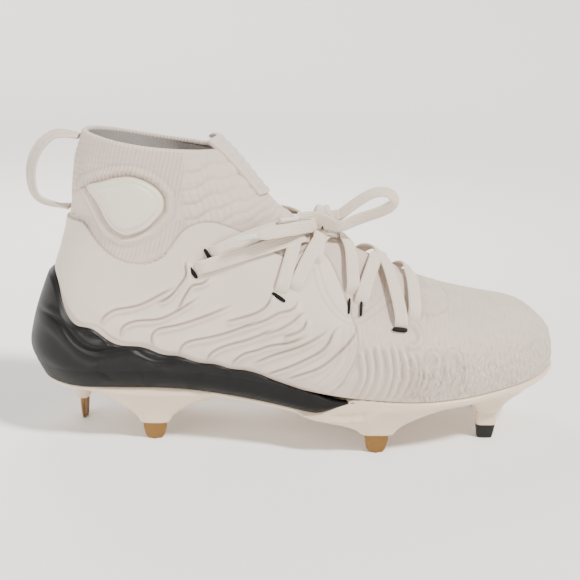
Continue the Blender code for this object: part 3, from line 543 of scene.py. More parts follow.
lateral_width = column(PLAN, 1, LENGTH, BALL_WIDTH)
medial_width = column(PLAN, 2, LENGTH, BALL_WIDTH)
centre_y = column(PLAN, 3, LENGTH, TOE_SWING)
top_share = column(SIDE, 1, LENGTH, THROAT_HEIGHT)
top_depth = column(SIDE, 2, LENGTH, THROAT_HEIGHT)
drop_share = column(SIDE, 3, LENGTH, HEEL_DROP)
spring_share = column(SIDE, 4, LENGTH, TOE_SPRING)
back_lean = column(BACK, 1, COLLAR_BACK, HEEL_LEAN)
back_round = column(BACK, 2, COLLAR_BACK, ANKLE_WIDTH)
midsole_base = column(MIDSOLE, 2, LENGTH, BALL_STACK)
midsole_bulge = column(MIDSOLE, 3, LENGTH, HEEL_FLARE)


def smooth_step(x, a, b):
    u = np.clip((x - a) / (b - a), 0, 1)
    return u * u * (3 - 2 * u)


def top_z(x):
    return BALL_STACK + top_share(x)


def feather_z(x):
    """Height of the upper's lower edge, where it meets the sole."""
    return BALL_STACK + drop_share(x) + spring_share(x)


def back_x(z):
    return back_lean(z - BALL_STACK)


def closing(gap, depth, power):
    return np.clip(1 - gap / depth, 0, None) ** power


def half_breadth(side, x, z):
    """Half width of the upper's skin at a place of the side view; side is -1 lateral, +1 medial."""
    foot = lateral_width(x) if side < 0 else medial_width(x)
    shaft = smooth_step(z, BALL_STACK + SHAFT_LOW, BALL_STACK + SHAFT_HIGH)
    wide = foot * (1 - shaft) + ANKLE_WIDTH / 2 * shaft
    low = np.clip((feather_z(x) + BELLY - z) / BELLY, 0, 1)
    wide = wide - FEATHER_TUCK * low * low
    room = 1 - closing(LENGTH - x, TOE_ROUND, TOE_ROUNDING)
    room = room - closing(top_z(x) - z, top_depth(x), TOP_ROUNDING)
    room = room - closing(x - back_x(z), back_round(z - BALL_STACK), ROUNDING)
    return wide * np.clip(room, 0, None) ** (1 / ROUNDING)


def front_line(n=600):
    """Side view of the skin's front, from the toe's lower edge over the vamp to the collar."""
    u = np.linspace(0, 1, n)
    x = LENGTH - (LENGTH - COLLAR_FRONT) * u ** 2.2
    toe = closing(LENGTH - x, TOE_ROUND, TOE_ROUNDING)
    z = top_z(x) - top_depth(x) * (1 - np.clip(1 - toe, 0, None) ** (1 / TOP_ROUNDING))
    low = feather_z(LENGTH)
    wall = np.linspace(low, z[0], 12)[:-1]
    return np.concatenate([np.full(len(wall), LENGTH), x]), np.concatenate([wall, z])


def even(points, n):
    """n points at equal distances along a line of points."""
    d = np.concatenate([[0], np.cumsum(np.linalg.norm(np.diff(points, axis=0), axis=1))])
    at = np.linspace(0, d[-1], n)
    return np.stack([np.interp(at, d, points[:, k]) for k in range(3)], 1)


FRONT_X, FRONT_Z = front_line()
FRONT = np.stack([FRONT_X, FRONT_Z, np.zeros_like(FRONT_X)], 1)
FRONT_RUN = np.concatenate([[0], np.cumsum(np.linalg.norm(np.diff(FRONT, axis=0), axis=1))])


def side_ring(side, t, n=260):
    """Half ring of the skin at row share t, from the heel's centre to the front's centre."""
    at = t ** FRONT_POWER * FRONT_RUN[-1]
    front_x = np.interp(at, FRONT_RUN, FRONT[:, 0])
    front_z = np.interp(at, FRONT_RUN, FRONT[:, 1])
    low = feather_z(0.0)
    heel_z = low + (BALL_STACK + COLLAR_BACK - low) * t
    heel_x = back_x(heel_z)
    p = (1 - np.cos(np.linspace(0, np.pi, n))) / 2
    x = heel_x + (front_x - heel_x) * p
    bow = feather_z(x) - (low + (feather_z(LENGTH) - low) * p)
    z = heel_z + (front_z - heel_z) * p + bow * (1 - t) ** 2
    z = z - COLLAR_DIP * t ** 4 * np.sin(np.pi * p)
    w = half_breadth(side, x, z)
    w[0] = 0
    w[-1] = 0
    return np.stack([x, centre_y(x) + side * w, z], 1)


def grid_normals(grid):
    """Outward normals of a grid of rows that close round the shoe."""
    around = np.roll(grid, -1, axis=1) - np.roll(grid, 1, axis=1)
    up = np.gradient(grid, axis=0)
    n = np.cross(around, up)
    n = n / np.linalg.norm(n, axis=2, keepdims=True)
    return n


def skin_grid(rows, columns):
    """Rows of the skin; each runs from the heel's centre round the lateral side to the front and back."""
    half = columns // 2
    grid = []
    for t in np.linspace(0, 1, rows):
        lateral = even(side_ring(-1, t), half + 1)
        medial = even(side_ring(1, t), half + 1)
        grid.append(np.concatenate([lateral, medial[::-1][1:-1]]))
    return np.array(grid)


STEP_X = float(even(side_ring(-1, 0.0), COLUMNS // 2 + 1)[MIDSOLE_COLUMNS, 0])


def level_normals(grid):
    """Outward directions of a grid, laid level."""
    n = grid_normals(grid)
    n[:, :, 2] = 0
    return n / np.linalg.norm(n, axis=2, keepdims=True)


def plate_bottom(x):
    """Height of the plate's underside along the shoe."""
    rear = midsole_base(x) - GAP - PLATE
    front = feather_z(x) - GAP - RIM
    share = smooth_step(x, STEP_X + PLATE, STEP_X + 2 * RIM)
    return rear * (1 - share) + front * share


def side_point(side, x, z, lift):
    """Point off the skin's side at a place of the side view."""
    e = 0.0005
    y = half_breadth(side, x, z)
    along = (half_breadth(side, x + e, z) - half_breadth(side, x - e, z)) / (2 * e)
    up = (half_breadth(side, x, z + e) - half_breadth(side, x, z - e)) / (2 * e)
    n = np.array([-along, side, -up], float)
    n = n / np.linalg.norm(n)
    return np.array([x, centre_y(x) + side * y, z], float) + n * lift


def front_patch(t, d):
    """Point and direction out of the skin beside the front's centre, at a distance d round the shoe."""
    side = -1 if d < 0 else 1
    ring = side_ring(side, min(t, 1.0))[::-1]
    run = np.concatenate([[0], np.cumsum(np.linalg.norm(np.diff(ring, axis=0), axis=1))])
    return np.array([np.interp(abs(d), run, ring[:, k]) for k in range(3)])


def depth_in(p):
    """How far inside the skin a point lies across the shoe; negative outside."""
    x, y, z = p
    side = -1 if y < centre_y(x) else 1
    return float(half_breadth(side, x, z) - abs(y - centre_y(x)))


def skin_way(p):
    """Way out of the skin at a point."""
    e = 0.0006
    n = np.array([depth_in(p - step) - depth_in(p + step) for step in np.eye(3) * e])
    return n / np.linalg.norm(n)


def lay_on_skin(p, way):
    """Where a line from p along a direction leaves the skin, and the way out there."""
    far = 0.0
    for h in np.linspace(-0.004, 0.070, 75):
        if depth_in(p + way * h) > 0:
            far = h
    low, high = far, far + 0.001
    for _ in range(14):
        h = (low + high) / 2
        if depth_in(p + way * h) > 0:
            low = h
        else:
            high = h
    q = p + way * low
    return q, skin_way(q)


def lace_line(bar):
    """Middle line of a lace bar over the throat, with the way out at each point."""
    a_side, a_x, a_z, b_side, b_x, b_z, extra = bar
    a = side_point(a_side, a_x * LENGTH, a_z * THROAT_HEIGHT, 0.0)
    b = side_point(b_side, b_x * LENGTH, b_z * THROAT_HEIGHT, 0.0)
    way = skin_way(a) + skin_way(b)
    way = way / np.linalg.norm(way)
    spots, outs = [], []
    for k in np.linspace(0, 1, LACE_STEPS):
        q, n = lay_on_skin(a + (b - a) * k, way)
        lift = LACE_LOW + (LACE_HIGH - LACE_LOW) * abs(2 * k - 1) ** 0.7
        lift += extra * math.sin(math.pi * k) ** 0.5
        spots.append(q + n * lift)
        outs.append(n)
    return np.array(spots), np.array(outs)


def new_paint(name, colour, roughness, metallic=0.0, sheen=0.0, coat=0.0):
    paint = bpy.data.materials.new(name)
    paint.use_nodes = True
    shader = paint.node_tree.nodes["Principled BSDF"]
    shader.inputs["Base Color"].default_value = (*colour, 1)
    shader.inputs["Roughness"].default_value = roughness
    shader.inputs["Metallic"].default_value = metallic
    shader.inputs["Sheen Weight"].default_value = sheen
    shader.inputs["Coat Weight"].default_value = coat
    return paint, paint.node_tree, shader


def put(tree, socket, value):
    """Set a socket to a number or wire it to another socket."""
    if isinstance(value, bpy.types.NodeSocket):
        tree.links.new(value, socket)
    else:
        socket.default_value = value


def calc(tree, way, *values):
    node = tree.nodes.new("ShaderNodeMath")
    node.operation = way
    for socket, value in zip(node.inputs, values):
        put(tree, socket, value)
    return node.outputs[0]


def marked(tree, name, output="Fac"):
    node = tree.nodes.new("ShaderNodeAttribute")
    node.attribute_name = name
    return node.outputs[output]


def noise(tree, place, scale, detail=3.0, rough=0.5):
    node = tree.nodes.new("ShaderNodeTexNoise")
    put(tree, node.inputs["Vector"], place)
    node.inputs["Scale"].default_value = scale
    node.inputs["Detail"].default_value = detail
    node.inputs["Roughness"].default_value = rough
    return node.outputs["Fac"]


def stretched(tree, place, sizes):
    node = tree.nodes.new("ShaderNodeVectorMath")
    node.operation = "MULTIPLY"
    put(tree, node.inputs[0], place)
    node.inputs[1].default_value = sizes
    return node.outputs[0]


def object_place(tree):
    return tree.nodes.new("ShaderNodeTexCoord").outputs["Object"]


def cloth_place(tree):
    """Distances round and up the cloth, in metres, and both apart."""
    place = marked(tree, "cloth", "Vector")
    parts = tree.nodes.new("ShaderNodeSeparateXYZ")
    tree.links.new(place, parts.inputs[0])
    return place, parts.outputs[0], parts.outputs[1]


def wave(tree, value, step, turn=0.0):
    return calc(tree, "SINE", calc(tree, "MULTIPLY_ADD", value, 2 * math.pi / step, turn))


def relief(tree, shader, height, strength=1.0):
    """Bump from a height in metres."""
    node = tree.nodes.new("ShaderNodeBump")
    node.inputs["Strength"].default_value = strength
    node.inputs["Distance"].default_value = 1.0
    put(tree, node.inputs["Height"], height)
    tree.links.new(node.outputs[0], shader.inputs["Normal"])


def tint(tree, shader, colour, dark, share):
    """Colour that goes from light to dark by a share."""
    node = tree.nodes.new("ShaderNodeMix")
    node.data_type = "RGBA"
    put(tree, node.inputs["Factor"], share)
    node.inputs["A"].default_value = (*colour, 1)
    node.inputs["B"].default_value = (*dark, 1)
    tree.links.new(node.outputs["Result"], shader.inputs["Base Color"])


def skin_paint():
    """Knit with a satin film where the film mark is 1, and wrinkled emboss toward the toe; painted shade
    darkens its grooves, the toe's wrinkle lines and the gaps between ribs.
    """
    paint, tree, shader = new_paint("knit_and_film", (0.78, 0.72, 0.67), 0.75, sheen=0.15)
    place, u, v = cloth_place(tree)
    film = marked(tree, "film")
    toe = marked(tree, "toe")
    rib = marked(tree, "rib")
    # Mark of painted shade in the skin's grooves, seams and creases
    groove_shade = marked(tree, "groove_shade")
    open_knit = calc(tree, "SUBTRACT", 1.0, film)
    rows = wave(tree, v, 0.00115)
    stitches = wave(tree, u, 0.00100)
    knit = calc(tree, "MULTIPLY", calc(tree, "MULTIPLY", rows, stitches), 0.00009)
    height = calc(tree, "MULTIPLY", knit, calc(tree, "MULTIPLY_ADD", open_knit, 0.7, 0.3))
    ribs = calc(tree, "MULTIPLY", wave(tree, u, 0.0021), 0.00022)
    height = calc(tree, "MULTIPLY_ADD", ribs, rib, height)
    grain = noise(tree, stretched(tree, place, (1.0, 0.45, 1.0)), 430, 2.5, 0.55)
    fold = calc(tree, "ABSOLUTE", calc(tree, "MULTIPLY_ADD", grain, 2.0, -1.0))
    wrinkle = calc(tree, "MULTIPLY", calc(tree, "POWER", fold, 0.7), -0.0014)
    height = calc(tree, "MULTIPLY_ADD", wrinkle, toe, height)
    fine = calc(tree, "MULTIPLY", noise(tree, place, 1900, 2.0), 0.00004)
    height = calc(tree, "ADD", height, fine)
    relief(tree, shader, height)
    stain = calc(tree, "MULTIPLY_ADD", noise(tree, place, 26, 3.0), 0.10, -0.02)
    # Painted shade: darkens the thin lines of the toe's wrinkle pattern, as shade in creases
    crease_shade = calc(tree, "MULTIPLY", calc(tree, "SUBTRACT", 0.35, fold), calc(tree, "MULTIPLY", toe, 0.30))
    crease_shade = calc(tree, "MAXIMUM", crease_shade, 0.0)
    # Painted shade between the ribs: darker where the rib wave dips, in the ribbed region only
    gap = calc(tree, "MULTIPLY", calc(tree, "MULTIPLY_ADD", wave(tree, u, 0.0021), -0.5, 0.5), rib)
    # Colour share: random stain tone plus painted shade from the wrinkle-line, groove and rib-gap marks
    share = calc(tree, "ADD", calc(tree, "ADD", stain, crease_shade), calc(tree, "MULTIPLY", groove_shade, 0.55))
    share = calc(tree, "MULTIPLY_ADD", gap, 0.16, share)
    tint(tree, shader, (0.73, 0.615, 0.525), (0.16, 0.095, 0.06), share)
    put(tree, shader.inputs["Roughness"], calc(tree, "MULTIPLY_ADD", film, -0.22, 0.78))
    return paint


def ribbed_paint(name, colour, dark, step, deep, roughness=0.85):
    """Cloth with ribs that run along it, with painted shade between the ribs."""
    paint, tree, shader = new_paint(name, colour, roughness, sheen=0.2)
    place, u, v = cloth_place(tree)
    ribs = wave(tree, u, step)
    cross = wave(tree, v, step * 0.55)
    height = calc(tree, "MULTIPLY", ribs, deep)
    height = calc(tree, "MULTIPLY_ADD", calc(tree, "MULTIPLY", ribs, cross), deep * 0.5, height)
    height = calc(tree, "MULTIPLY_ADD", noise(tree, place, 1500, 2.0), deep * 0.5, height)
    relief(tree, shader, height)
    # Painted shade: the colour darkens where the ribs dip; the noise below adds random tone
    share = calc(tree, "MULTIPLY_ADD", ribs, -0.10, 0.12)
    share = calc(tree, "MULTIPLY_ADD", noise(tree, place, 60, 2.0), 0.10, share)
    tint(tree, shader, colour, dark, share)
    return paint


def plain_paint(name, colour, dark, roughness, bump, scale, metallic=0.0, coat=0.0, gloss=0.5):
    """Moulded or metal surface with fine grain and slight change of tone."""
    paint, tree, shader = new_paint(name, colour, roughness, metallic, 0.0, coat)
    shader.inputs["Specular IOR Level"].default_value = gloss
    place = object_place(tree)
    relief(tree, shader, calc(tree, "MULTIPLY", noise(tree, place, scale, 3.0), bump))
    tone = noise(tree, place, 30, 3.0)
    tint(tree, shader, colour, dark, calc(tree, "MULTIPLY_ADD", tone, 0.5, -0.08))
    rough = calc(tree, "MULTIPLY_ADD", noise(tree, place, 90, 2.0), 0.16, roughness - 0.08)
    put(tree, shader.inputs["Roughness"], rough)
    return paint


def piece(name, points, faces, paints, nodes=(), marks=None, normals=None, kinds=None):
    """Smooth mesh at its place in the frame, on the one body."""
    mesh = bpy.data.meshes.new(name)
    mesh.from_pydata((np.asarray(points, float) + SHIFT).tolist(), [], [tuple(f) for f in faces])
    for paint in paints:
        mesh.materials.append(paint)
    if kinds is not None:
        mesh.polygons.foreach_set("material_index", np.asarray(kinds, np.int32))
    mesh.shade_smooth()
    for key, values in (marks or {}).items():
        values = np.asarray(values, np.float32)
        kind = "FLOAT" if values.ndim == 1 else "FLOAT_VECTOR"
        layer = mesh.attributes.new(key, kind, "POINT")
        layer.data.foreach_set("value" if values.ndim == 1 else "vector", values.ravel())
    mesh.update()
    if normals is not None:
        mesh.normals_split_custom_set_from_vertices(np.asarray(normals, float).tolist())
    thing = bpy.data.objects.new(name, mesh)
    bpy.context.scene.collection.objects.link(thing)
    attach(thing, "root")
    if nodes:
        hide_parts(*nodes)
    return thing


def grid_quads(rows, columns, closed=False):
    reach = columns if closed else columns - 1
    i, j = np.meshgrid(np.arange(rows - 1), np.arange(reach), indexing="ij")
    a = i * columns + j
    b = i * columns + (j + 1) % columns
    return np.stack([a, b, b + columns, a + columns], 2).reshape(-1, 4)


def line_through(shares, n=80):
    """Smooth line of the side view through points given as shares of LENGTH and THROAT_HEIGHT."""
    points = np.array(shares, float) * (LENGTH, THROAT_HEIGHT)
    run = np.concatenate([[0], np.cumsum(np.linalg.norm(np.diff(points, axis=0), axis=1))])
    at = np.linspace(0, run[-1], n)
    return np.stack([smooth_curve(run, points[:, 0])(at), smooth_curve(run, points[:, 1])(at)], 1)


def signed_distance(x, z, line):
    """Distance to a line of the side view, positive on its right, and the run along it from 0 to 1."""
    best = np.full(x.shape, 1.0)
    sign = np.ones(x.shape)
    run = np.zeros(x.shape)
    for k in range(len(line) - 1):
        a, d = line[k], line[k + 1] - line[k]
        size = d @ d
        t = np.clip(((x - a[0]) * d[0] + (z - a[1]) * d[1]) / size, 0, 1)
        gx, gz = x - a[0] - t * d[0], z - a[1] - t * d[1]
        gap = np.hypot(gx, gz)
        nearer = gap < best
        best = np.where(nearer, gap, best)
        sign = np.where(nearer, np.where(d[0] * gz - d[1] * gx > 0, -1.0, 1.0), sign)
        run = np.where(nearer, (k + t) / (len(line) - 1), run)
    return best * sign, run


def near_line(x, z, line, reach):
    """Places of a grid within reach of a line's box."""
    low, high = line.min(axis=0) - reach, line.max(axis=0) + reach
    return (x > low[0]) & (x < high[0]) & (z > low[1]) & (z < high[1])


def bell(d, wide):
    return np.exp(-(d / wide) ** 2)


def ends_fade(run, soft=0.08):
    return smooth_step(run, 0.0, soft * 1.8) * (1 - smooth_step(run, 1 - soft * 2.5, 1.0))


def skin_relief(x, z):
    """Height of the skin's relief over its base, the marks of its regions, and a mark of painted shade
    along its grooves and creases.
    """
    height = np.zeros(x.shape)
    # Painted shade: darkening along the film's step edge, the ridges' grooves, beside the cords, along
    # seams, round the pads, between the puffs and in the toe's ripples
    groove_shade = np.zeros(x.shape)
    outline = line_through(QUARTER_TOP, 160)
    under = [[outline[-1, 0] - 0.004, 0.0], [-0.03, 0.0], [-0.03, outline[0, 1]]]
    outline = np.concatenate([outline, under])
    gap, run = signed_distance(x, z, np.concatenate([outline, outline[:1]]))
    film = smooth_step(gap, -FILM_SOFT, FILM_SOFT)
    height += FILM_STEP * film
    groove_shade += 0.7 * bell(gap + FILM_SOFT, 0.0006) * (z > 0.04)
    for shares in CONTOURS:
        line = line_through(shares)
        spot = near_line(x, z, line, 0.007)
        d, run = signed_distance(x[spot], z[spot], line)
        fade = ends_fade(run)
        height[spot] += fade * RIDGE_HIGH * bell(d - RIDGE_OFF, RIDGE_WIDE)
        height[spot] += fade * RIDGE_HIGH * 0.35 * bell(d + RIDGE_OFF, RIDGE_WIDE)
        height[spot] -= fade * GROOVE_DEEP * bell(d, GROOVE_WIDE)
        groove_shade[spot] = np.maximum(groove_shade[spot], fade * bell(d, GROOVE_WIDE * 1.1))
    for shares in CORDS:
        line = line_through(shares)
        spot = near_line(x, z, line, 0.005)
        d, run = signed_distance(x[spot], z[spot], line)
        fade = ends_fade(run, 0.05)
        height[spot] = np.maximum(height[spot], fade * CORD_HIGH * bell(d, CORD_WIDE))
        groove_shade[spot] = np.maximum(groove_shade[spot], fade * 0.30 * bell(np.abs(d) - 1.7 * CORD_WIDE, 0.0005))
    for shares in SEAMS:
        line = line_through(shares)
        spot = near_line(x, z, line, 0.004)
        d, run = signed_distance(x[spot], z[spot], line)
        height[spot] -= 0.00022 * bell(d, 0.0006)
        groove_shade[spot] = np.maximum(groove_shade[spot], 0.28 * bell(d, 0.0005))
    share_x = x / LENGTH
    share_z = z / THROAT_HEIGHT
    toe_low = 1 - smooth_step(z - feather_z(x), 0.014, 0.036)
    toe = smooth_step(share_x, 0.60, 0.72) * (0.45 + 0.55 * toe_low)
    front = smooth_step(share_x, 0.545, 0.60) * 0.3 * (1 - smooth_step(share_x, 0.60, 0.72))
    toe = toe + front
    high = smooth_step(z, BALL_STACK + 0.70 * COLLAR_BACK, BALL_STACK + 0.83 * COLLAR_BACK)
    pad = [(a * LENGTH, BALL_STACK + h * COLLAR_BACK) for a, h in PAD]
    ring, _ = signed_distance(x, z, np.array(pad + pad[:1]))
    away = np.where(ring > 0, 0.0, -ring)
    if np.mean(ring[np.hypot(x - 0.172 * LENGTH, z - (BALL_STACK + 0.745 * COLLAR_BACK)) < 0.01]) < 0:
        away = np.where(ring < 0, 0.0, ring)
    height += 0.0016 * bell(away - 0.0030, 0.0019) * (1 - film)
    groove_shade += 0.30 * bell(away - 0.0062, 0.0006) * (1 - film)
    groove_shade += 0.35 * bell(away - 0.0005, 0.0010)
    band = bell(away - 0.0105, 0.0048) * (1 - film) * (share_z < 0.98)
    rib = np.clip(np.maximum(band, high * (share_x < 0.26)), 0, 1)
    reach = smooth_step(share_x, 0.240, 0.275) * (1 - film) * (1 - smooth_step(share_x, 0.46, 0.50))
    reach = reach * (1 - smooth_step(z, BALL_STACK + 0.90 * COLLAR_BACK, BALL_STACK + 0.96 * COLLAR_BACK))
    reach = reach * smooth_step(share_z, 0.93, 0.99)
    fan = PUFF_STEP * (1 - 0.45 * smooth_step(x, 0.085, 0.125))
    rows_at = (z - PUFF_BASE[1] - PUFF_SLOPE * (x - PUFF_BASE[0])
               + 0.0006 * np.sin(x / 0.0021) + 0.0005 * np.sin(x / 0.0057)) / fan
    shift = np.floor(rows_at) % 2 + 0.4 * np.sin(np.floor(rows_at) * 2.1)
    across_at = (x + PUFF_SLOPE * z) / (PUFF_STEP * 0.52) + 0.5 * shift + 0.25 * np.sin(x / 0.0047)
    puffs = np.abs(np.sin(np.pi * rows_at)) ** 0.55
    puffs = puffs * (0.62 + 0.38 * np.abs(np.sin(np.pi * across_at)) ** 0.7)
    height += PUFF_HIGH * reach * puffs * (1 - 0.45 * smooth_step(x, 0.09, 0.13))
    groove_shade += 0.42 * reach * np.clip(0.60 - puffs, 0, 1)
    collar_rows = np.abs(np.sin(np.pi * (z - 0.6 * COLLAR_DIP) / 0.0031)) ** 0.8
    height += 0.00028 * high * (share_x < 0.30) * collar_rows
    sag = 0.0005 * np.sin(x / 0.0085 + 1.2 * np.sin(z / 0.013)) * np.sin(z / 0.0075 + 0.7)
    soft = (1 - film) * smooth_step(share_z, 0.80, 0.95) * (share_x < 0.45)
    height += sag * soft
    ripple = np.sin(x / 0.00052 + 2.1 * np.sin(z / 0.0026 + 1.3 * np.sin(x / 0.0041)))
    ripple = ripple * (0.55 + 0.45 * np.sin(z / 0.0011 + 1.8 * np.sin(x / 0.0023)))
    height += 0.00034 * np.clip(toe * 1.2, 0, 1) * ripple
    groove_shade += 0.22 * toe * np.clip(-ripple, 0, 1)
    height += 0.00018 * np.sin(x / 0.0046 + 2 * np.sin(z / 0.006)) * np.sin(z / 0.0052)
    sole = np.where(share_x < FOAM_EDGE[-1][0] - 0.05, foam_edge_line()(np.maximum(x, 0)), 0.0)
    height *= 0.25 + 0.75 * smooth_step(z - sole, 0.0004, 0.0034)
    low = smooth_step(z - feather_z(x), 0.0, 0.0015)
    top = 1 - smooth_step(z, BALL_STACK + 0.975 * COLLAR_BACK, BALL_STACK + COLLAR_BACK)
    return height * (0.15 + 0.85 * low) * top, {
        "film": film, "toe": np.clip(toe, 0, 1), "rib": rib, "groove_shade": np.clip(groove_shade, 0, 1)}


def fine_half(side, columns):
    return np.array([even(side_ring(side, t, 900), columns) for t in np.linspace(0, 1, SKIN_ROWS)])


def build_skin():
    lateral = fine_half(-1, LATERAL_COLUMNS)
    medial = fine_half(1, MEDIAL_COLUMNS)
    made = []
    for side, grid in ((-1, lateral), (1, medial)):
        other = medial if side < 0 else lateral
        wide = np.concatenate([other[:, 1:2], grid, other[:, -2:-1]], axis=1)
        around = np.gradient(wide, axis=1)[:, 1:-1]
        up = np.gradient(grid, axis=0)
        n = np.cross(around, up) * (1 if side < 0 else -1)
        n = n / np.linalg.norm(n, axis=2, keepdims=True)
        n[:, 0, 1] = 0
        n[:, -1, 1] *= 0.0
        n = n / np.linalg.norm(n, axis=2, keepdims=True)
        u = np.cumsum(np.linalg.norm(np.diff(grid, axis=1, prepend=grid[:, :1]), axis=2), axis=1)
        v = np.cumsum(np.linalg.norm(np.diff(grid, axis=0, prepend=grid[:1]), axis=2), axis=0)
        height, marks = skin_relief(grid[:, :, 0], grid[:, :, 2])
        points = grid + n * height[:, :, None]
        shown = np.cross(np.gradient(points, axis=1), np.gradient(points, axis=0)) * (1 if side < 0 else -1)
        shown = shown / np.linalg.norm(shown, axis=2, keepdims=True)
        shown[:, 0, 1] = 0
        shown = shown / np.linalg.norm(shown, axis=2, keepdims=True)
        marks["cloth"] = np.stack([u, v, np.zeros_like(u)], 2)
        made.append((side, points, shown, marks))
    return made


def show_skin(made, paint):
    for side, points, shown, marks in made:
        columns = points.shape[1]
        spans = ((0, LATERAL_SPLIT + 1), (LATERAL_SPLIT, columns)) if side < 0 else ((0, columns),)
        names = ("upper_rear_lateral", "upper_fore_lateral") if side < 0 else ("upper_medial",)
        for name, (a, b) in zip(names, spans):
            part = points[:, a:b]
            faces = grid_quads(SKIN_ROWS, b - a)
            if side > 0:
                faces = faces[:, ::-1]
            cut = {key: value[:, a:b].reshape(-1, *value.shape[2:]) for key, value in marks.items()}
            piece(name, part.reshape(-1, 3), faces, [paint], ("upper", "quarter_overlay"), cut,
                  shown[:, a:b].reshape(-1, 3))


def build_collar(made, rib, lining):
    """Rolled collar edge and the lining that runs down from it."""
    lateral, medial = made[0][1], made[1][1]
    top = np.concatenate([even(lateral[-1], 200), even(medial[-1], 200)[::-1][1:-1]])
    count = len(top)
    across = np.roll(top, -1, axis=0) - np.roll(top, 1, axis=0)
    up = np.array([0.0, 0.0, 1.0])
    out = np.cross(across, up)
    out = out / np.linalg.norm(out, axis=1, keepdims=True)
    rows = []
    centre = top - out * COLLAR_RADIUS
    for turn in np.linspace(-0.35, math.pi + 0.5, 15):
        rows.append(centre + out * COLLAR_RADIUS * math.cos(turn) + up * COLLAR_RADIUS * math.sin(turn))
    grid = np.array(rows)
    u = np.cumsum(np.linalg.norm(np.diff(top, axis=0, prepend=top[:1]), axis=1))
    level = np.zeros(grid.shape[:2])
    cloth = np.stack([np.broadcast_to(u, level.shape), level, level], 2)
    cloth[:, :, 1] = np.linspace(0, 0.005, len(rows))[:, None]
    piece("collar_edge", grid.reshape(-1, 3), grid_quads(len(rows), count, True), [rib], (),
          {"cloth": cloth.reshape(-1, 3)})
    inside = []
    for t in np.linspace(1, 0.01, LINING_ROWS):
        ring = np.concatenate([even(side_ring(-1, t), LINING_COLUMNS), even(side_ring(1, t), LINING_COLUMNS)[::-1][1:-1]])
        inside.append(ring)
    inside = np.array(inside)
    n = -np.cross(np.roll(inside, -1, axis=1) - np.roll(inside, 1, axis=1), np.gradient(inside, axis=0))
    n = n / np.linalg.norm(n, axis=2, keepdims=True)
    wall = WALL + (COLLAR_RADIUS * 2 - WALL) * smooth_step(np.linspace(1, 0, LINING_ROWS), 0.7, 0.95)
    inside = inside - n * wall[:, None, None]
    u = np.cumsum(np.linalg.norm(np.diff(inside, axis=1, prepend=inside[:, :1]), axis=2), axis=1)
    v = np.cumsum(np.linalg.norm(np.diff(inside, axis=0, prepend=inside[:1]), axis=2), axis=0)
    cloth = np.stack([u, v, np.zeros_like(u)], 2).reshape(-1, 3)
    faces = grid_quads(LINING_ROWS, inside.shape[1], True)
    piece("collar_lining", inside.reshape(-1, 3), faces, [lining], (), {"cloth": cloth})


def closed_rows(grid):
    """Points and faces of rows that close, with both ends filled toward their middles."""
    rows, columns = grid.shape[:2]
    points = np.concatenate([grid.reshape(-1, 3), [grid[0].mean(axis=0)], [grid[-1].mean(axis=0)]])
    faces = [tuple(q) for q in grid_quads(rows, columns, True)]
    base = rows * columns
    last = (rows - 1) * columns
    for i in range(columns):
        faces.append(((i + 1) % columns, i, base))
        faces.append((last + i, last + (i + 1) % columns, base + 1))
    return points, faces


def flat_section(width, thick, n=LACE_ACROSS):
    """Closed outline of a flat lace with round edges: across and out."""
    turn = np.linspace(0, 2 * math.pi, 2 * n, endpoint=False)
    c, s = np.cos(turn), np.sin(turn)
    across = np.sign(c) * np.abs(c) ** 0.45 * width / 2
    out = np.sign(s) * np.abs(s) ** 0.75 * thick / 2
    return np.stack([across, out], 1)


def lace_band(name, line, outs, paints, nodes=(), tip=False, width=LACE_WIDTH, thick=LACE_THICK):
    """Flat lace swept along a line, with a round tip at its far end if asked."""
    along = np.gradient(line, axis=0)
    along = along / np.linalg.norm(along, axis=1, keepdims=True)
    across = np.cross(along, outs)
    across = across / np.linalg.norm(across, axis=1, keepdims=True)
    outs = np.cross(across, along)
    run = np.concatenate([[0], np.cumsum(np.linalg.norm(np.diff(line, axis=0), axis=1))])
    left = run[-1] - run
    flat = flat_section(width, thick)
    turn = np.linspace(0, 2 * math.pi, len(flat), endpoint=False)
    round_one = np.stack([np.cos(turn), np.sin(turn)], 1) * TIP_RADIUS
    rows = []
    for k in range(len(line)):
        share = 0.0 if not tip else 1 - float(smooth_step(left[k], TIP_LONG - 0.002, TIP_LONG + 0.006))
        section = flat * (1 - share) + round_one * share
        rows.append(line[k] + section[:, :1] * across[k] + section[:, 1:] * outs[k])
    grid = np.array(rows)
    points, faces = closed_rows(grid)
    u = np.broadcast_to(flat[:, 0], grid.shape[:2])
    v = np.broadcast_to(run[:, None], grid.shape[:2])
    cloth = np.stack([u, v, np.zeros(grid.shape[:2])], 2).reshape(-1, 3)
    cloth = np.concatenate([cloth, np.zeros((2, 3))])
    kinds = np.zeros(len(faces), np.int32)
    if tip:
        row = np.arange((len(line) - 1) * len(flat)) // len(flat)
        kinds[:len(row)] = left[row] < TIP_LONG
        kinds[len(row):] = 1
    return piece(name, points, faces, paints, nodes, {"cloth": cloth}, kinds=kinds)


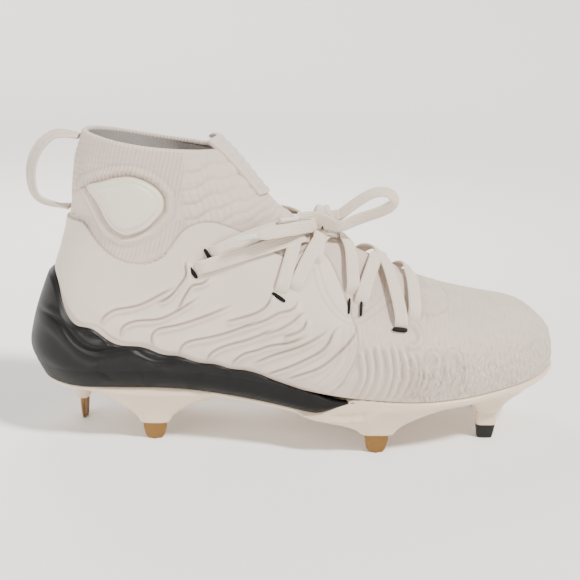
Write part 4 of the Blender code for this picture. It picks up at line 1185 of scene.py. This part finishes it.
def build_bars(paint):
    for k, bar in enumerate(LACE_BARS):
        spots, outs = lace_line(bar)
        steps = np.arange(len(spots))
        fine = np.linspace(0, len(spots) - 1, 90)
        line = np.stack([smooth_curve(steps, spots[:, i])(fine) for i in range(3)], 1)
        ways = np.stack([smooth_curve(steps, outs[:, i])(fine) for i in range(3)], 1)
        ways = ways / np.linalg.norm(ways, axis=1, keepdims=True)
        start, end = line[0] - line[1], line[-1] - line[-2]
        more = np.linspace(LACE_REACH, 0, 8, endpoint=False)[:, None]
        first = line[0] + start / np.linalg.norm(start) * more
        last = line[-1] + end / np.linalg.norm(end) * more[::-1]
        line = np.concatenate([first, line, last])
        ways = np.concatenate([np.repeat(ways[:1], 8, 0), ways, np.repeat(ways[-1:], 8, 0)])
        run = np.concatenate([[0], np.cumsum(np.linalg.norm(np.diff(line, axis=0), axis=1))])
        dive = np.clip(1 - np.minimum(run, run[-1] - run) / LACE_DIVE, 0, 1)
        line = line + ways * (LACE_THICK / 2 - dive[:, None] ** 2 * 0.0042)
        lace_band(f"lace_bar_{k + 1}", line, ways, [paint], ("lace_bars",))


def cord_line(route, n=170):
    points = np.array(route)
    steps = np.arange(len(points))
    fine = np.linspace(0, len(points) - 1, 400)
    line = np.stack([smooth_curve(steps, points[:, k])(fine) for k in range(3)], 1)
    return even(line, n)


def build_free_laces(cloth, tip_paint):
    """Bow loop with its end, and the other free end, as flat laces with tips."""
    look = -np.array(CAMERA_AHEAD)
    for name, route, twist in (("lace_bow", BOW_ROUTE, 0.75), ("lace_end", END_ROUTE, 0.25)):
        line = cord_line(route)
        along = np.gradient(line, axis=0)
        along = along / np.linalg.norm(along, axis=1, keepdims=True)
        side = np.cross(along, look)
        side = side / np.linalg.norm(side, axis=1, keepdims=True)
        middle = line.mean(axis=0)
        turn = np.where(np.sum(side * (line - middle), axis=1) < 0, -1.0, 1.0)
        turn = np.convolve(np.pad(turn, 12, "edge"), np.ones(25) / 25, "valid")
        outs = look + side * twist * turn[:, None]
        outs = outs - along * np.sum(outs * along, axis=1, keepdims=True)
        outs = outs / np.linalg.norm(outs, axis=1, keepdims=True)
        thing = lace_band(name + "_flat", line, outs, [cloth, tip_paint], (name,), tip=True)
        lead = np.linspace(KNOT, line[0] + (line[1] - line[0]) * 1.5, 14)
        lead_outs = np.repeat(outs[:1], len(lead), 0)
        lace_band(name.replace("lace", "lace_knot_to"), lead, lead_outs, [cloth], ("lace_knot",))


def build_knot(paint):
    """Knot: a wrapped band round the crossing, over a soft core."""
    rows = []
    for turn in np.linspace(-1.45, 1.45, 30):
        ring = []
        for around in np.linspace(0, 2 * math.pi, 60, endpoint=False):
            level = math.cos(turn) ** 0.7
            wrap = 1 + 0.12 * math.sin(3 * turn + around)
            ring.append((math.sin(turn), level * wrap * math.cos(around), level * wrap * math.sin(around)))
        rows.append(np.array(ring) * np.array(KNOT_HALF) * (1.0, 1.30, 1.45) + KNOT)
    grid = np.array(rows)
    points, faces = closed_rows(grid)
    around = np.linspace(0, 0.03, 60, endpoint=False)
    cloth = np.stack([np.broadcast_to(np.linspace(0, 0.012, 30)[:, None], (30, 60)),
                      np.broadcast_to(around, (30, 60)), np.zeros((30, 60))], 2).reshape(-1, 3)
    piece("lace_knot_wrap", points, faces, [paint], ("lace_knot",),
          {"cloth": np.concatenate([cloth, np.zeros((2, 3))])})
    for k, (lean, slide) in enumerate(((0.35, -0.0022), (-0.30, 0.0024))):
        turn = np.linspace(0, 2 * math.pi, 90)
        outs = np.stack([np.sin(turn) * lean, np.cos(turn), np.sin(turn)], 1)
        outs = outs / np.linalg.norm(outs, axis=1, keepdims=True)
        line = np.stack([slide + KNOT_WRAP[1] * np.sin(turn) * lean, KNOT_WRAP[0] * np.cos(turn),
                         KNOT_WRAP[1] * np.sin(turn)], 1) + KNOT
        lace_band(f"lace_knot_turn_{k + 1}", line, outs, [paint], ("lace_knot",), width=0.0062)


def foam_edge_line():
    line = np.array(FOAM_EDGE) * (LENGTH, THROAT_HEIGHT)
    return smooth_curve(line[:, 0], line[:, 1])


def fine_columns(fine, rows=70):
    """Fine columns of the skin's low part for the sole, and level directions out of it."""
    grid = skin_grid(rows, COLUMNS * fine)[:rows // 2]
    return grid, level_normals(grid)


def low_point(grid, normals, j, z):
    line, out = grid[:, j], normals[:, j]
    p = np.array([np.interp(z, line[:, 2], line[:, k]) for k in range(2)] + [z])
    d = np.array([np.interp(z, line[:, 2], out[:, k]) for k in range(2)] + [0.0])
    return p, d / np.linalg.norm(d)


def build_foam(paint):
    """Wall of foam round the heel with its flowing folds."""
    fine = FOAM_FINE
    grid, normals = fine_columns(fine)
    edge_of = foam_edge_line()
    count = COLUMNS * fine
    wall = smooth_curve([row[0] for row in MIDSOLE_WALL], [row[1] for row in MIDSOLE_WALL])
    reach = np.arange(-MIDSOLE_COLUMNS * fine, MIDSOLE_COLUMNS * fine + 1)
    base_points, outs = [], []
    share = np.linspace(0, 1, FOAM_ROWS)
    for c in reach:
        j = c % count
        x = grid[0, j, 0]
        edge = float(edge_of(max(x, 0)))
        base = float(midsole_base((grid[0, j, 0] + grid[0, -j % count, 0]) / 2))
        bulge = float(midsole_bulge(x))
        rise = smooth_step(abs(c) / fine, MIDSOLE_COLUMNS - PLATE_RISE, MIDSOLE_COLUMNS)
        close = smooth_step(abs(c) / fine, MIDSOLE_COLUMNS - 2.5, MIDSOLE_COLUMNS - 0.6)
        base = base * (1 - rise) + (float(feather_z(x)) - 0.002) * rise
        edge = edge * (1 - rise) + (base + 0.0008) * rise
        column, ways = [], []
        for h in share:
            z = base + (edge - base) * h
            p, d = low_point(grid, normals, j, z)
            lip = 1 - smooth_step(h, 0.955, 1.0) * 0.55
            proud = bulge * float(wall(h)) * (1 - 0.8 * close) + FOAM_LIP * (1 - 0.7 * close)
            column.append(p + d * (GAP + proud * lip))
            ways.append(d)
        base_points.append(column)
        outs.append(ways)
    points = np.array(base_points).transpose(1, 0, 2)
    outs = np.array(outs).transpose(1, 0, 2)
    x, z = points[:, :, 0], points[:, :, 2]
    height = np.zeros(x.shape)
    for shares, high, wide in FOAM_FOLDS:
        line = line_through(shares, 70)
        spot = near_line(x, z, line, 0.015)
        d, run = signed_distance(x[spot], z[spot], line)
        height[spot] += high * bell(d, wide) * ends_fade(run, 0.10)
    height *= smooth_step(share, 0.0, 0.06)[:, None] * (1 - smooth_step(share, 0.93, 1.0))[:, None]
    points = points + outs * height[:, :, None]
    inner = points[-1:] - outs[-1:] * 0.004
    under = points[:1] - outs[:1] * 0.004
    points = np.concatenate([under, points, inner])
    rows, columns = points.shape[:2]
    piece("midsole_foam", points.reshape(-1, 3), grid_quads(rows, columns), [paint], ("midsole",))


def pod_rows(row, steps=64, levels=26):
    _, along, across, back, front, top_half, foot_x, foot_y, foot, top_across = row
    x0 = along * LENGTH
    rows = []
    for level in np.linspace(0, 1, levels):
        share = level ** 1.7
        ring = []
        for turn in np.linspace(0, 2 * math.pi, steps, endpoint=False):
            c, s = math.cos(turn), math.sin(turn)
            cx = math.copysign(abs(c) ** 0.7, c)
            sy = math.copysign(abs(s) ** 0.7, s)
            reach = front if c > 0 else back
            x = x0 + cx * BALL_WIDTH * (foot_x + (reach - foot_x) * share)
            y = (across + (top_across - across) * share) * BALL_WIDTH
            y += sy * BALL_WIDTH * (foot_y + (top_half - foot_y) * share)
            low = foot * BALL_STACK
            high = float(plate_bottom(x)) + PLATE * 0.20
            ring.append((x, y, low + (high - low) * level))
        rows.append(ring)
    return np.array(rows)


def build_plate(paint):
    """Plate with flared pods, melted into one surface."""
    fine = 6
    grid, normals = fine_columns(fine)
    count = COLUMNS * fine
    step = MIDSOLE_COLUMNS * fine
    top, rim, bottom = [], [], []
    for j in range(count):
        place = min(j, count - j)
        p, d = grid[0, j], normals[0, j]
        x = p[0]
        front = float(smooth_step(place / fine, MIDSOLE_COLUMNS - PLATE_RISE, MIDSOLE_COLUMNS))
        rear_high = float(midsole_base((grid[0, j, 0] + grid[0, -j % count, 0]) / 2)) - GAP
        high = rear_high * (1 - front) + (float(feather_z(x)) - GAP) * front
        low_share = float(smooth_step(place, step + fine, step + 3 * fine))
        low = (rear_high - PLATE) * (1 - low_share) + (float(feather_z(x)) - GAP - RIM) * low_share
        proud = float(midsole_bulge(x)) * MIDSOLE_WALL[0][1] + GAP
        proud = proud * (1 - front) + RIM_PROUD * front
        flat = p * (1, 1, 0)
        top.append(flat + d * proud + (0, 0, high))
        rim.append(flat + d * (proud + 0.0005) + (0, 0, high * 0.45 + low * 0.55))
        bottom.append(flat + d * (proud - 0.0018) + (0, 0, low))
    grid = np.array([bottom, rim, top])
    points, faces = [], []

    def add(rows_grid):
        rows, columns = rows_grid.shape[:2]
        half = columns // 2
        base = len(points)
        points.extend(rows_grid.reshape(-1, 3).tolist())
        faces.extend([tuple(base + q) for q in grid_quads(rows, columns, True)])
        for row in (0, rows - 1):
            numbers = [base + row * columns + i for i in range(columns)]
            faces.append((numbers[0], numbers[1], numbers[-1]))
            for i in range(1, half - 1):
                faces.append((numbers[i], numbers[i + 1], numbers[-i - 1], numbers[-i]))
            faces.append((numbers[half - 1], numbers[half], numbers[half + 1]))

    add(grid)
    for pod in PODS:
        add(pod_rows(pod))
    thing = piece("plate_moulded", np.array(points), faces, [paint], ("outsole_plate",))
    melt = thing.modifiers.new("melt", "REMESH")
    melt.mode = "VOXEL"
    melt.voxel_size = PLATE_CELL
    melt.use_smooth_shade = True
    soft = thing.modifiers.new("soft", "SMOOTH")
    soft.iterations = PLATE_SOFTENING
    soft.factor = 0.5
    return thing


def build_blade(row, paint, tip_paint):
    name, along, across = row[0], row[1], row[2]
    high = row[8] * BALL_STACK + 0.0006
    turned = name == "rear"
    stud = name.startswith("toe")
    wide = (STUD_WIDTH if stud else BLADE_WIDTH) / 2
    thick = (STUD_THICK if stud else BLADE_THICK) / 2
    rows = []
    for level in np.linspace(0, 1, 26):
        share = BLADE_TAPER + (1 - BLADE_TAPER) * float(smooth_step(level, 0.0, 0.8))
        round_off = 1 - (0.30 if not stud else 0.12) * float(np.clip(1 - level / 0.28, 0, 1)) ** 2.4
        ring = []
        for turn in np.linspace(0, 2 * math.pi, 56, endpoint=False):
            c, s = math.cos(turn), math.sin(turn)
            a = math.copysign(abs(c) ** 0.45, c) * wide * share * round_off
            b = math.copysign(abs(s) ** 0.55, s) * thick * share * (0.6 + 0.4 * round_off)
            b *= 1 + (1.1 * math.exp(-(a / 0.0009) ** 2) if not stud else 0)
            z = high * level
            if turned:
                ring.append((along * LENGTH + b, across * BALL_WIDTH - a, z))
            else:
                ring.append((along * LENGTH + a, across * BALL_WIDTH + b, z))
        rows.append(ring)
    points, faces = closed_rows(np.array(rows))
    node = ("stud_" if stud else "blade_") + name
    kinds = np.zeros(len(faces), np.int32)
    if stud:
        row_of = np.arange(25 * 56) // 56
        kinds[:len(row_of)] = row_of > 11
    piece(node + "_fine", points, faces, [paint, tip_paint], (node,),
          kinds=kinds)


def build_insole(paint):
    grid, normals = fine_columns(4)
    outline = grid[0] - normals[0] * (WALL + GAP * 2)
    middle = np.stack([outline[:, 0], centre_y(outline[:, 0]), np.zeros(len(outline))], 1)
    rows = []
    for share in np.linspace(0, 0.97, 24):
        ring = outline * (1 - share) + middle * share
        ring[:, 2] = feather_z(ring[:, 0]) + INSOLE + 0.0015 * (1 - share) ** 6
        rows.append(ring)
    grid = np.array(rows)
    cloth = np.stack([grid[:, :, 0], grid[:, :, 1], np.zeros(grid.shape[:2])], 2).reshape(-1, 3)
    thing = piece("insole_cloth", grid.reshape(-1, 3), grid_quads(len(rows), grid.shape[1], True), [paint],
                  ("insole",), {"cloth": cloth})
    return thing


def build_pads(paint):
    """Domed soft pads over the ankle with a rolled edge."""
    outline = np.array(PAD)
    closed = np.concatenate([outline, outline[:1]])
    fine = np.linspace(0, len(outline), PAD_AROUND, endpoint=False)
    wide = np.concatenate([outline[-4:], closed, outline[1:5]])
    steps = np.arange(-4, len(outline) + 5)
    xs = smooth_curve(steps, wide[:, 0])(fine)
    zs = smooth_curve(steps, wide[:, 1])(fine)
    for side, name in ((-1, "ankle_pad_lateral"), (1, "ankle_pad_medial")):
        rows = []
        for share in np.linspace(1.0, 0.04, PAD_RINGS):
            x = (PAD_CENTRE[0] + (xs - PAD_CENTRE[0]) * share) * LENGTH
            z = BALL_STACK + (PAD_CENTRE[1] + (zs - PAD_CENTRE[1]) * share) * COLLAR_BACK
            rise = PAD_TOP * (1 - share ** 7) ** 0.5 * (0.86 + 0.14 * (1 - share))
            dent = 0.0007 * math.exp(-((share - 0.80) / 0.05) ** 2)
            rows.append([side_point(side, float(a), float(b), rise - dent) for a, b in zip(x, z)])
        grid = np.array(rows)
        points, faces = closed_rows(grid)
        if side > 0:
            faces = [f[::-1] for f in faces]
        thing = piece(name + "_soft", points, faces, [paint], (name,))


def build_pull_loop(paint, seam_paint):
    line = np.array([(a * HEEL_LEAN, BALL_STACK + h * COLLAR_BACK) for a, h in PULL_LOOP])
    steps = np.arange(len(line))
    fine = np.linspace(0, len(line) - 1, 160)
    xs = smooth_curve(steps, line[:, 0])(fine)
    zs = smooth_curve(steps, line[:, 1])(fine)
    spots = np.stack([xs, np.zeros(160), zs], 1)
    dx, dz = np.gradient(xs), np.gradient(zs)
    size = np.hypot(dx, dz)
    outs = np.stack([dz / size, np.zeros(160), -dx / size], 1)
    turn = LOOP_TWIST * np.sin(math.pi * np.linspace(0, 1, 160)) ** 0.8
    across = np.array([0.0, 1.0, 0.0])
    outs = outs * np.cos(turn)[:, None] + across * np.sin(turn)[:, None]
    wide = lace_band("pull_loop_band", spots, outs, [paint], ("pull_loop",), width=LOOP_WIDTH,
                     thick=LOOP_THICK)
    for side in (-1, 1):
        along = np.gradient(spots, axis=0)
        beside = np.cross(along / np.linalg.norm(along, axis=1, keepdims=True), outs)
        name = f"pull_loop_seam_{'lateral' if side < 0 else 'medial'}"
        edge = lace_band(name, spots + beside * side * 0.0030, outs, [seam_paint], (), width=0.0014,
                         thick=LOOP_THICK * 1.35)


def build_tab(paint):
    """Knit tab that stands over the front of the collar."""
    across = np.linspace(-TAB_HALF, TAB_HALF, 60)
    rows = [[front_patch(t, d) for d in across] for t in np.linspace(TAB_LOW, 1.0, 60)]
    rows = np.array(rows)
    last = rows[-1] - rows[-6]
    last = last / np.linalg.norm(last, axis=1, keepdims=True)
    more = []
    for share in np.linspace(0, 1, 25)[1:]:
        bend = 1 - 0.25 * (across / TAB_HALF) ** 4
        more.append(rows[-1] + last * TAB_RISE * share * bend[:, None] + np.array([-0.0010 * share, 0, 0]))
    grid = np.concatenate([rows, more])
    n = np.cross(np.gradient(grid, axis=1), np.gradient(grid, axis=0))
    n = n / np.linalg.norm(n, axis=2, keepdims=True)
    rim = np.minimum(1 - np.abs(across / TAB_HALF)[None, :], np.linspace(1, 0, len(grid))[:, None] * 3)
    thick = TAB_THICK * np.clip(rim / 0.10, 0, 1) ** 0.5
    rows_at = np.linspace(0, 1, len(grid))[:, None]
    emboss = 0.00035 * np.sin(rows_at * math.pi * 16) * np.clip(rim / 0.2, 0, 1)
    front = grid + n * (TAB_LIFT + thick + emboss)[:, :, None]
    back = grid - n * TAB_LIFT * 0.2
    loop = np.concatenate([front, back[:, ::-1]], axis=1)
    u = np.concatenate([across, across[::-1]])
    v = np.linspace(0, 0.03, len(grid))
    cloth = np.stack([np.broadcast_to(u, loop.shape[:2]), np.broadcast_to(v[:, None], loop.shape[:2]),
                      np.zeros(loop.shape[:2])], 2).reshape(-1, 3)
    faces = [tuple(q) for q in grid_quads(loop.shape[0], loop.shape[1], True)]
    columns = loop.shape[1]
    half = columns // 2
    for row in (0, loop.shape[0] - 1):
        base = row * columns
        for i in range(half - 1):
            faces.append((base + i, base + i + 1, base + columns - i - 2, base + columns - i - 1))
    piece("tongue_tab_knit", loop.reshape(-1, 3), faces, [paint], ("tongue_tab",),
          {"cloth": cloth})


def build_eyelets(dark):
    """Black slots over the openings that the laces pass through: a painted shadow standing for the shade
    inside them.
    """
    for k, (along, height, half_long, half_wide, slope) in enumerate(EYELETS):
        x0, z0 = along * LENGTH, height * THROAT_HEIGHT
        c, s = math.cos(slope), math.sin(slope)
        for side in (-1, 1):
            rows = []
            for share, lift in ((1.0, 0.0), (1.0, 1.0), (0.8, 1.35), (0.4, 1.4), (0.05, 1.4)):
                ring = []
                for turn in np.linspace(0, 2 * math.pi, 40, endpoint=False):
                    a = math.copysign(abs(math.cos(turn)) ** 0.6, math.cos(turn)) * half_long * share
                    b = math.copysign(abs(math.sin(turn)) ** 0.6, math.sin(turn)) * half_wide * share
                    x, z = x0 + a * c - b * s, z0 + a * s + b * c
                    ring.append(side_point(side, x, z, EYELET_LIFT * 0.4 + EYELET_RISE * lift * 1.6))
                rows.append(ring)
            points, faces = closed_rows(np.array(rows))
            if side > 0:
                faces = [f[::-1] for f in faces]
            name = f"eyelet_{k + 1}_{'lateral' if side < 0 else 'medial'}"
            piece(name, points, faces, [dark])


def build_stitches(paint):
    """Run of short stitches under the ankle pads."""
    line = line_through(STITCH_SEAM, 400)
    run = np.concatenate([[0], np.cumsum(np.linalg.norm(np.diff(line, axis=0), axis=1))])
    for side in (-1, 1):
        points, faces = [], []
        for start in np.arange(0, run[-1] - STITCH_LONG, STITCH_STEP):
            rows = []
            for share in np.linspace(0, 1, 7):
                at = start + STITCH_LONG * share
                x, z = np.interp(at, run, line[:, 0]), np.interp(at, run, line[:, 1])
                p = side_point(side, x, z, 0.0)
                out = side_point(side, x, z, 1.0) - p
                ahead = side_point(side, np.interp(at + 1e-4, run, line[:, 0]),
                                   np.interp(at + 1e-4, run, line[:, 1]), 0.0) - p
                ahead = ahead / np.linalg.norm(ahead)
                across = np.cross(ahead, out)
                fat = STITCH_WIDE * (0.25 + math.sin(math.pi * share))
                middle = p + out * (FILM_STEP * 0.5 + 0.0003 * math.sin(math.pi * share))
                ring = [middle + fat * (math.cos(t) * across + math.sin(t) * out)
                        for t in np.linspace(0, 2 * math.pi, 8, endpoint=False)]
                rows.append(ring)
            part, part_faces = closed_rows(np.array(rows))
            base = len(points)
            points.extend(part.tolist())
            faces.extend([tuple(base + i for i in f) for f in part_faces])
        piece(f"seam_stitches_{'lateral' if side < 0 else 'medial'}", np.array(points), faces, [paint])


def build_stage():
    mesh = bpy.data.meshes.new("floor")
    profile = [(0.05, 0.0), (SWEEP_BACK, 0.0)]
    for turn in np.linspace(0, SWEEP_TURN, 20)[1:]:
        profile.append((SWEEP_BACK + SWEEP_ROUND * math.sin(turn), SWEEP_ROUND * (1 - math.cos(turn))))
    turns = np.linspace(0, 2 * math.pi, 96, endpoint=False)
    rows = np.array([[(r * math.cos(t), r * math.sin(t), z) for t in turns] for r, z in profile])
    points, faces = closed_rows(rows)
    far_end = len(rows) * len(turns) + 1
    faces = [f for f in faces if far_end not in f]
    mesh.from_pydata(points.tolist(), [], [tuple(int(i) for i in f) for f in faces])
    mesh.shade_smooth()
    paint = new_paint("floor_white", (0.97, 0.965, 0.96), 0.95)[0]
    mesh.materials.append(paint)
    floor = bpy.data.objects.new("floor", mesh)
    floor.location.z = -0.0001
    bpy.context.scene.collection.objects.link(floor)
    world = bpy.data.worlds.new("studio")
    world.use_nodes = True
    world.node_tree.nodes["Background"].inputs["Color"].default_value = (1.0, 0.985, 0.97, 1)
    world.node_tree.nodes["Background"].inputs["Strength"].default_value = 0.50
    bpy.context.scene.world = world
    for name, kind, place, size, power in LAMPS:
        data = bpy.data.lights.new(name, kind)
        if kind == "SUN":
            data.angle = size
        else:
            data.size = size
        data.energy = power
        data.color = (1.0, 0.965, 0.925)
        lamp = bpy.data.objects.new(name, data)
        lamp.location = place
        lamp.rotation_mode = "QUATERNION"
        lamp.rotation_quaternion = (-Vector(place)).to_track_quat("-Z", "Y")
        bpy.context.scene.collection.objects.link(lamp)


build_camera()

lace_paint = ribbed_paint("lace_ribbed", (0.80, 0.70, 0.58), (0.45, 0.36, 0.28), 0.0012, 0.00010)
tip_paint = plain_paint("lace_tip", (0.74, 0.71, 0.66), (0.55, 0.50, 0.45), 0.35, 0.00002, 600, coat=0.3)
build_free_laces(lace_paint, tip_paint)
build_knot(lace_paint)
build_bars(lace_paint)

skin = skin_paint()
rib = ribbed_paint("collar_rib", (0.73, 0.62, 0.53), (0.40, 0.33, 0.29), 0.0021, 0.00018)
lining = ribbed_paint("lining_knit", (0.50, 0.46, 0.43), (0.25, 0.22, 0.20), 0.0024, 0.00016)
foam = plain_paint("foam_black", (0.004, 0.004, 0.004), (0.010, 0.009, 0.008), 0.46, 0.00003, 900,
                   gloss=0.28)
plastic = plain_paint("plate_cream", (0.76, 0.62, 0.47), (0.56, 0.42, 0.29), 0.33, 0.00001, 300, coat=0.25)
bronze = plain_paint("blade_bronze", (0.27, 0.155, 0.06), (0.06, 0.03, 0.012), 0.30, 0.00016, 360,
                     metallic=1.0)
stud = plain_paint("stud_black_tip", (0.005, 0.005, 0.005), (0.012, 0.011, 0.010), 0.42, 0.00003, 600,
                   gloss=0.3)
pad = plain_paint("pad_ivory", (0.76, 0.69, 0.57), (0.62, 0.54, 0.42), 0.38, 0.00002, 300, coat=0.35)
webbing = ribbed_paint("webbing_tape", (0.74, 0.63, 0.54), (0.42, 0.35, 0.30), 0.0016, 0.00014)
# Black of the eyelets: painted shade of the lace openings
dark = plain_paint("eyelet_slot_shade", (0.004, 0.004, 0.004), (0.01, 0.01, 0.01), 0.6, 0.00002, 500,
                   gloss=0.15)
stitch = plain_paint("stitch_thread", (0.62, 0.56, 0.50), (0.45, 0.39, 0.34), 0.8, 0.00002, 900)

made = build_skin()
show_skin(made, skin)
build_collar(made, rib, lining)
build_foam(foam)
build_plate(plastic)
for pod in PODS:
    if pod[0].startswith("toe"):
        build_blade(pod, stud, plastic)
    else:
        build_blade(pod, bronze, bronze)
build_insole(lining)
build_pads(pad)
build_pull_loop(webbing, webbing)
build_tab(webbing)
build_eyelets(dark)
build_stitches(stitch)
build_stage()
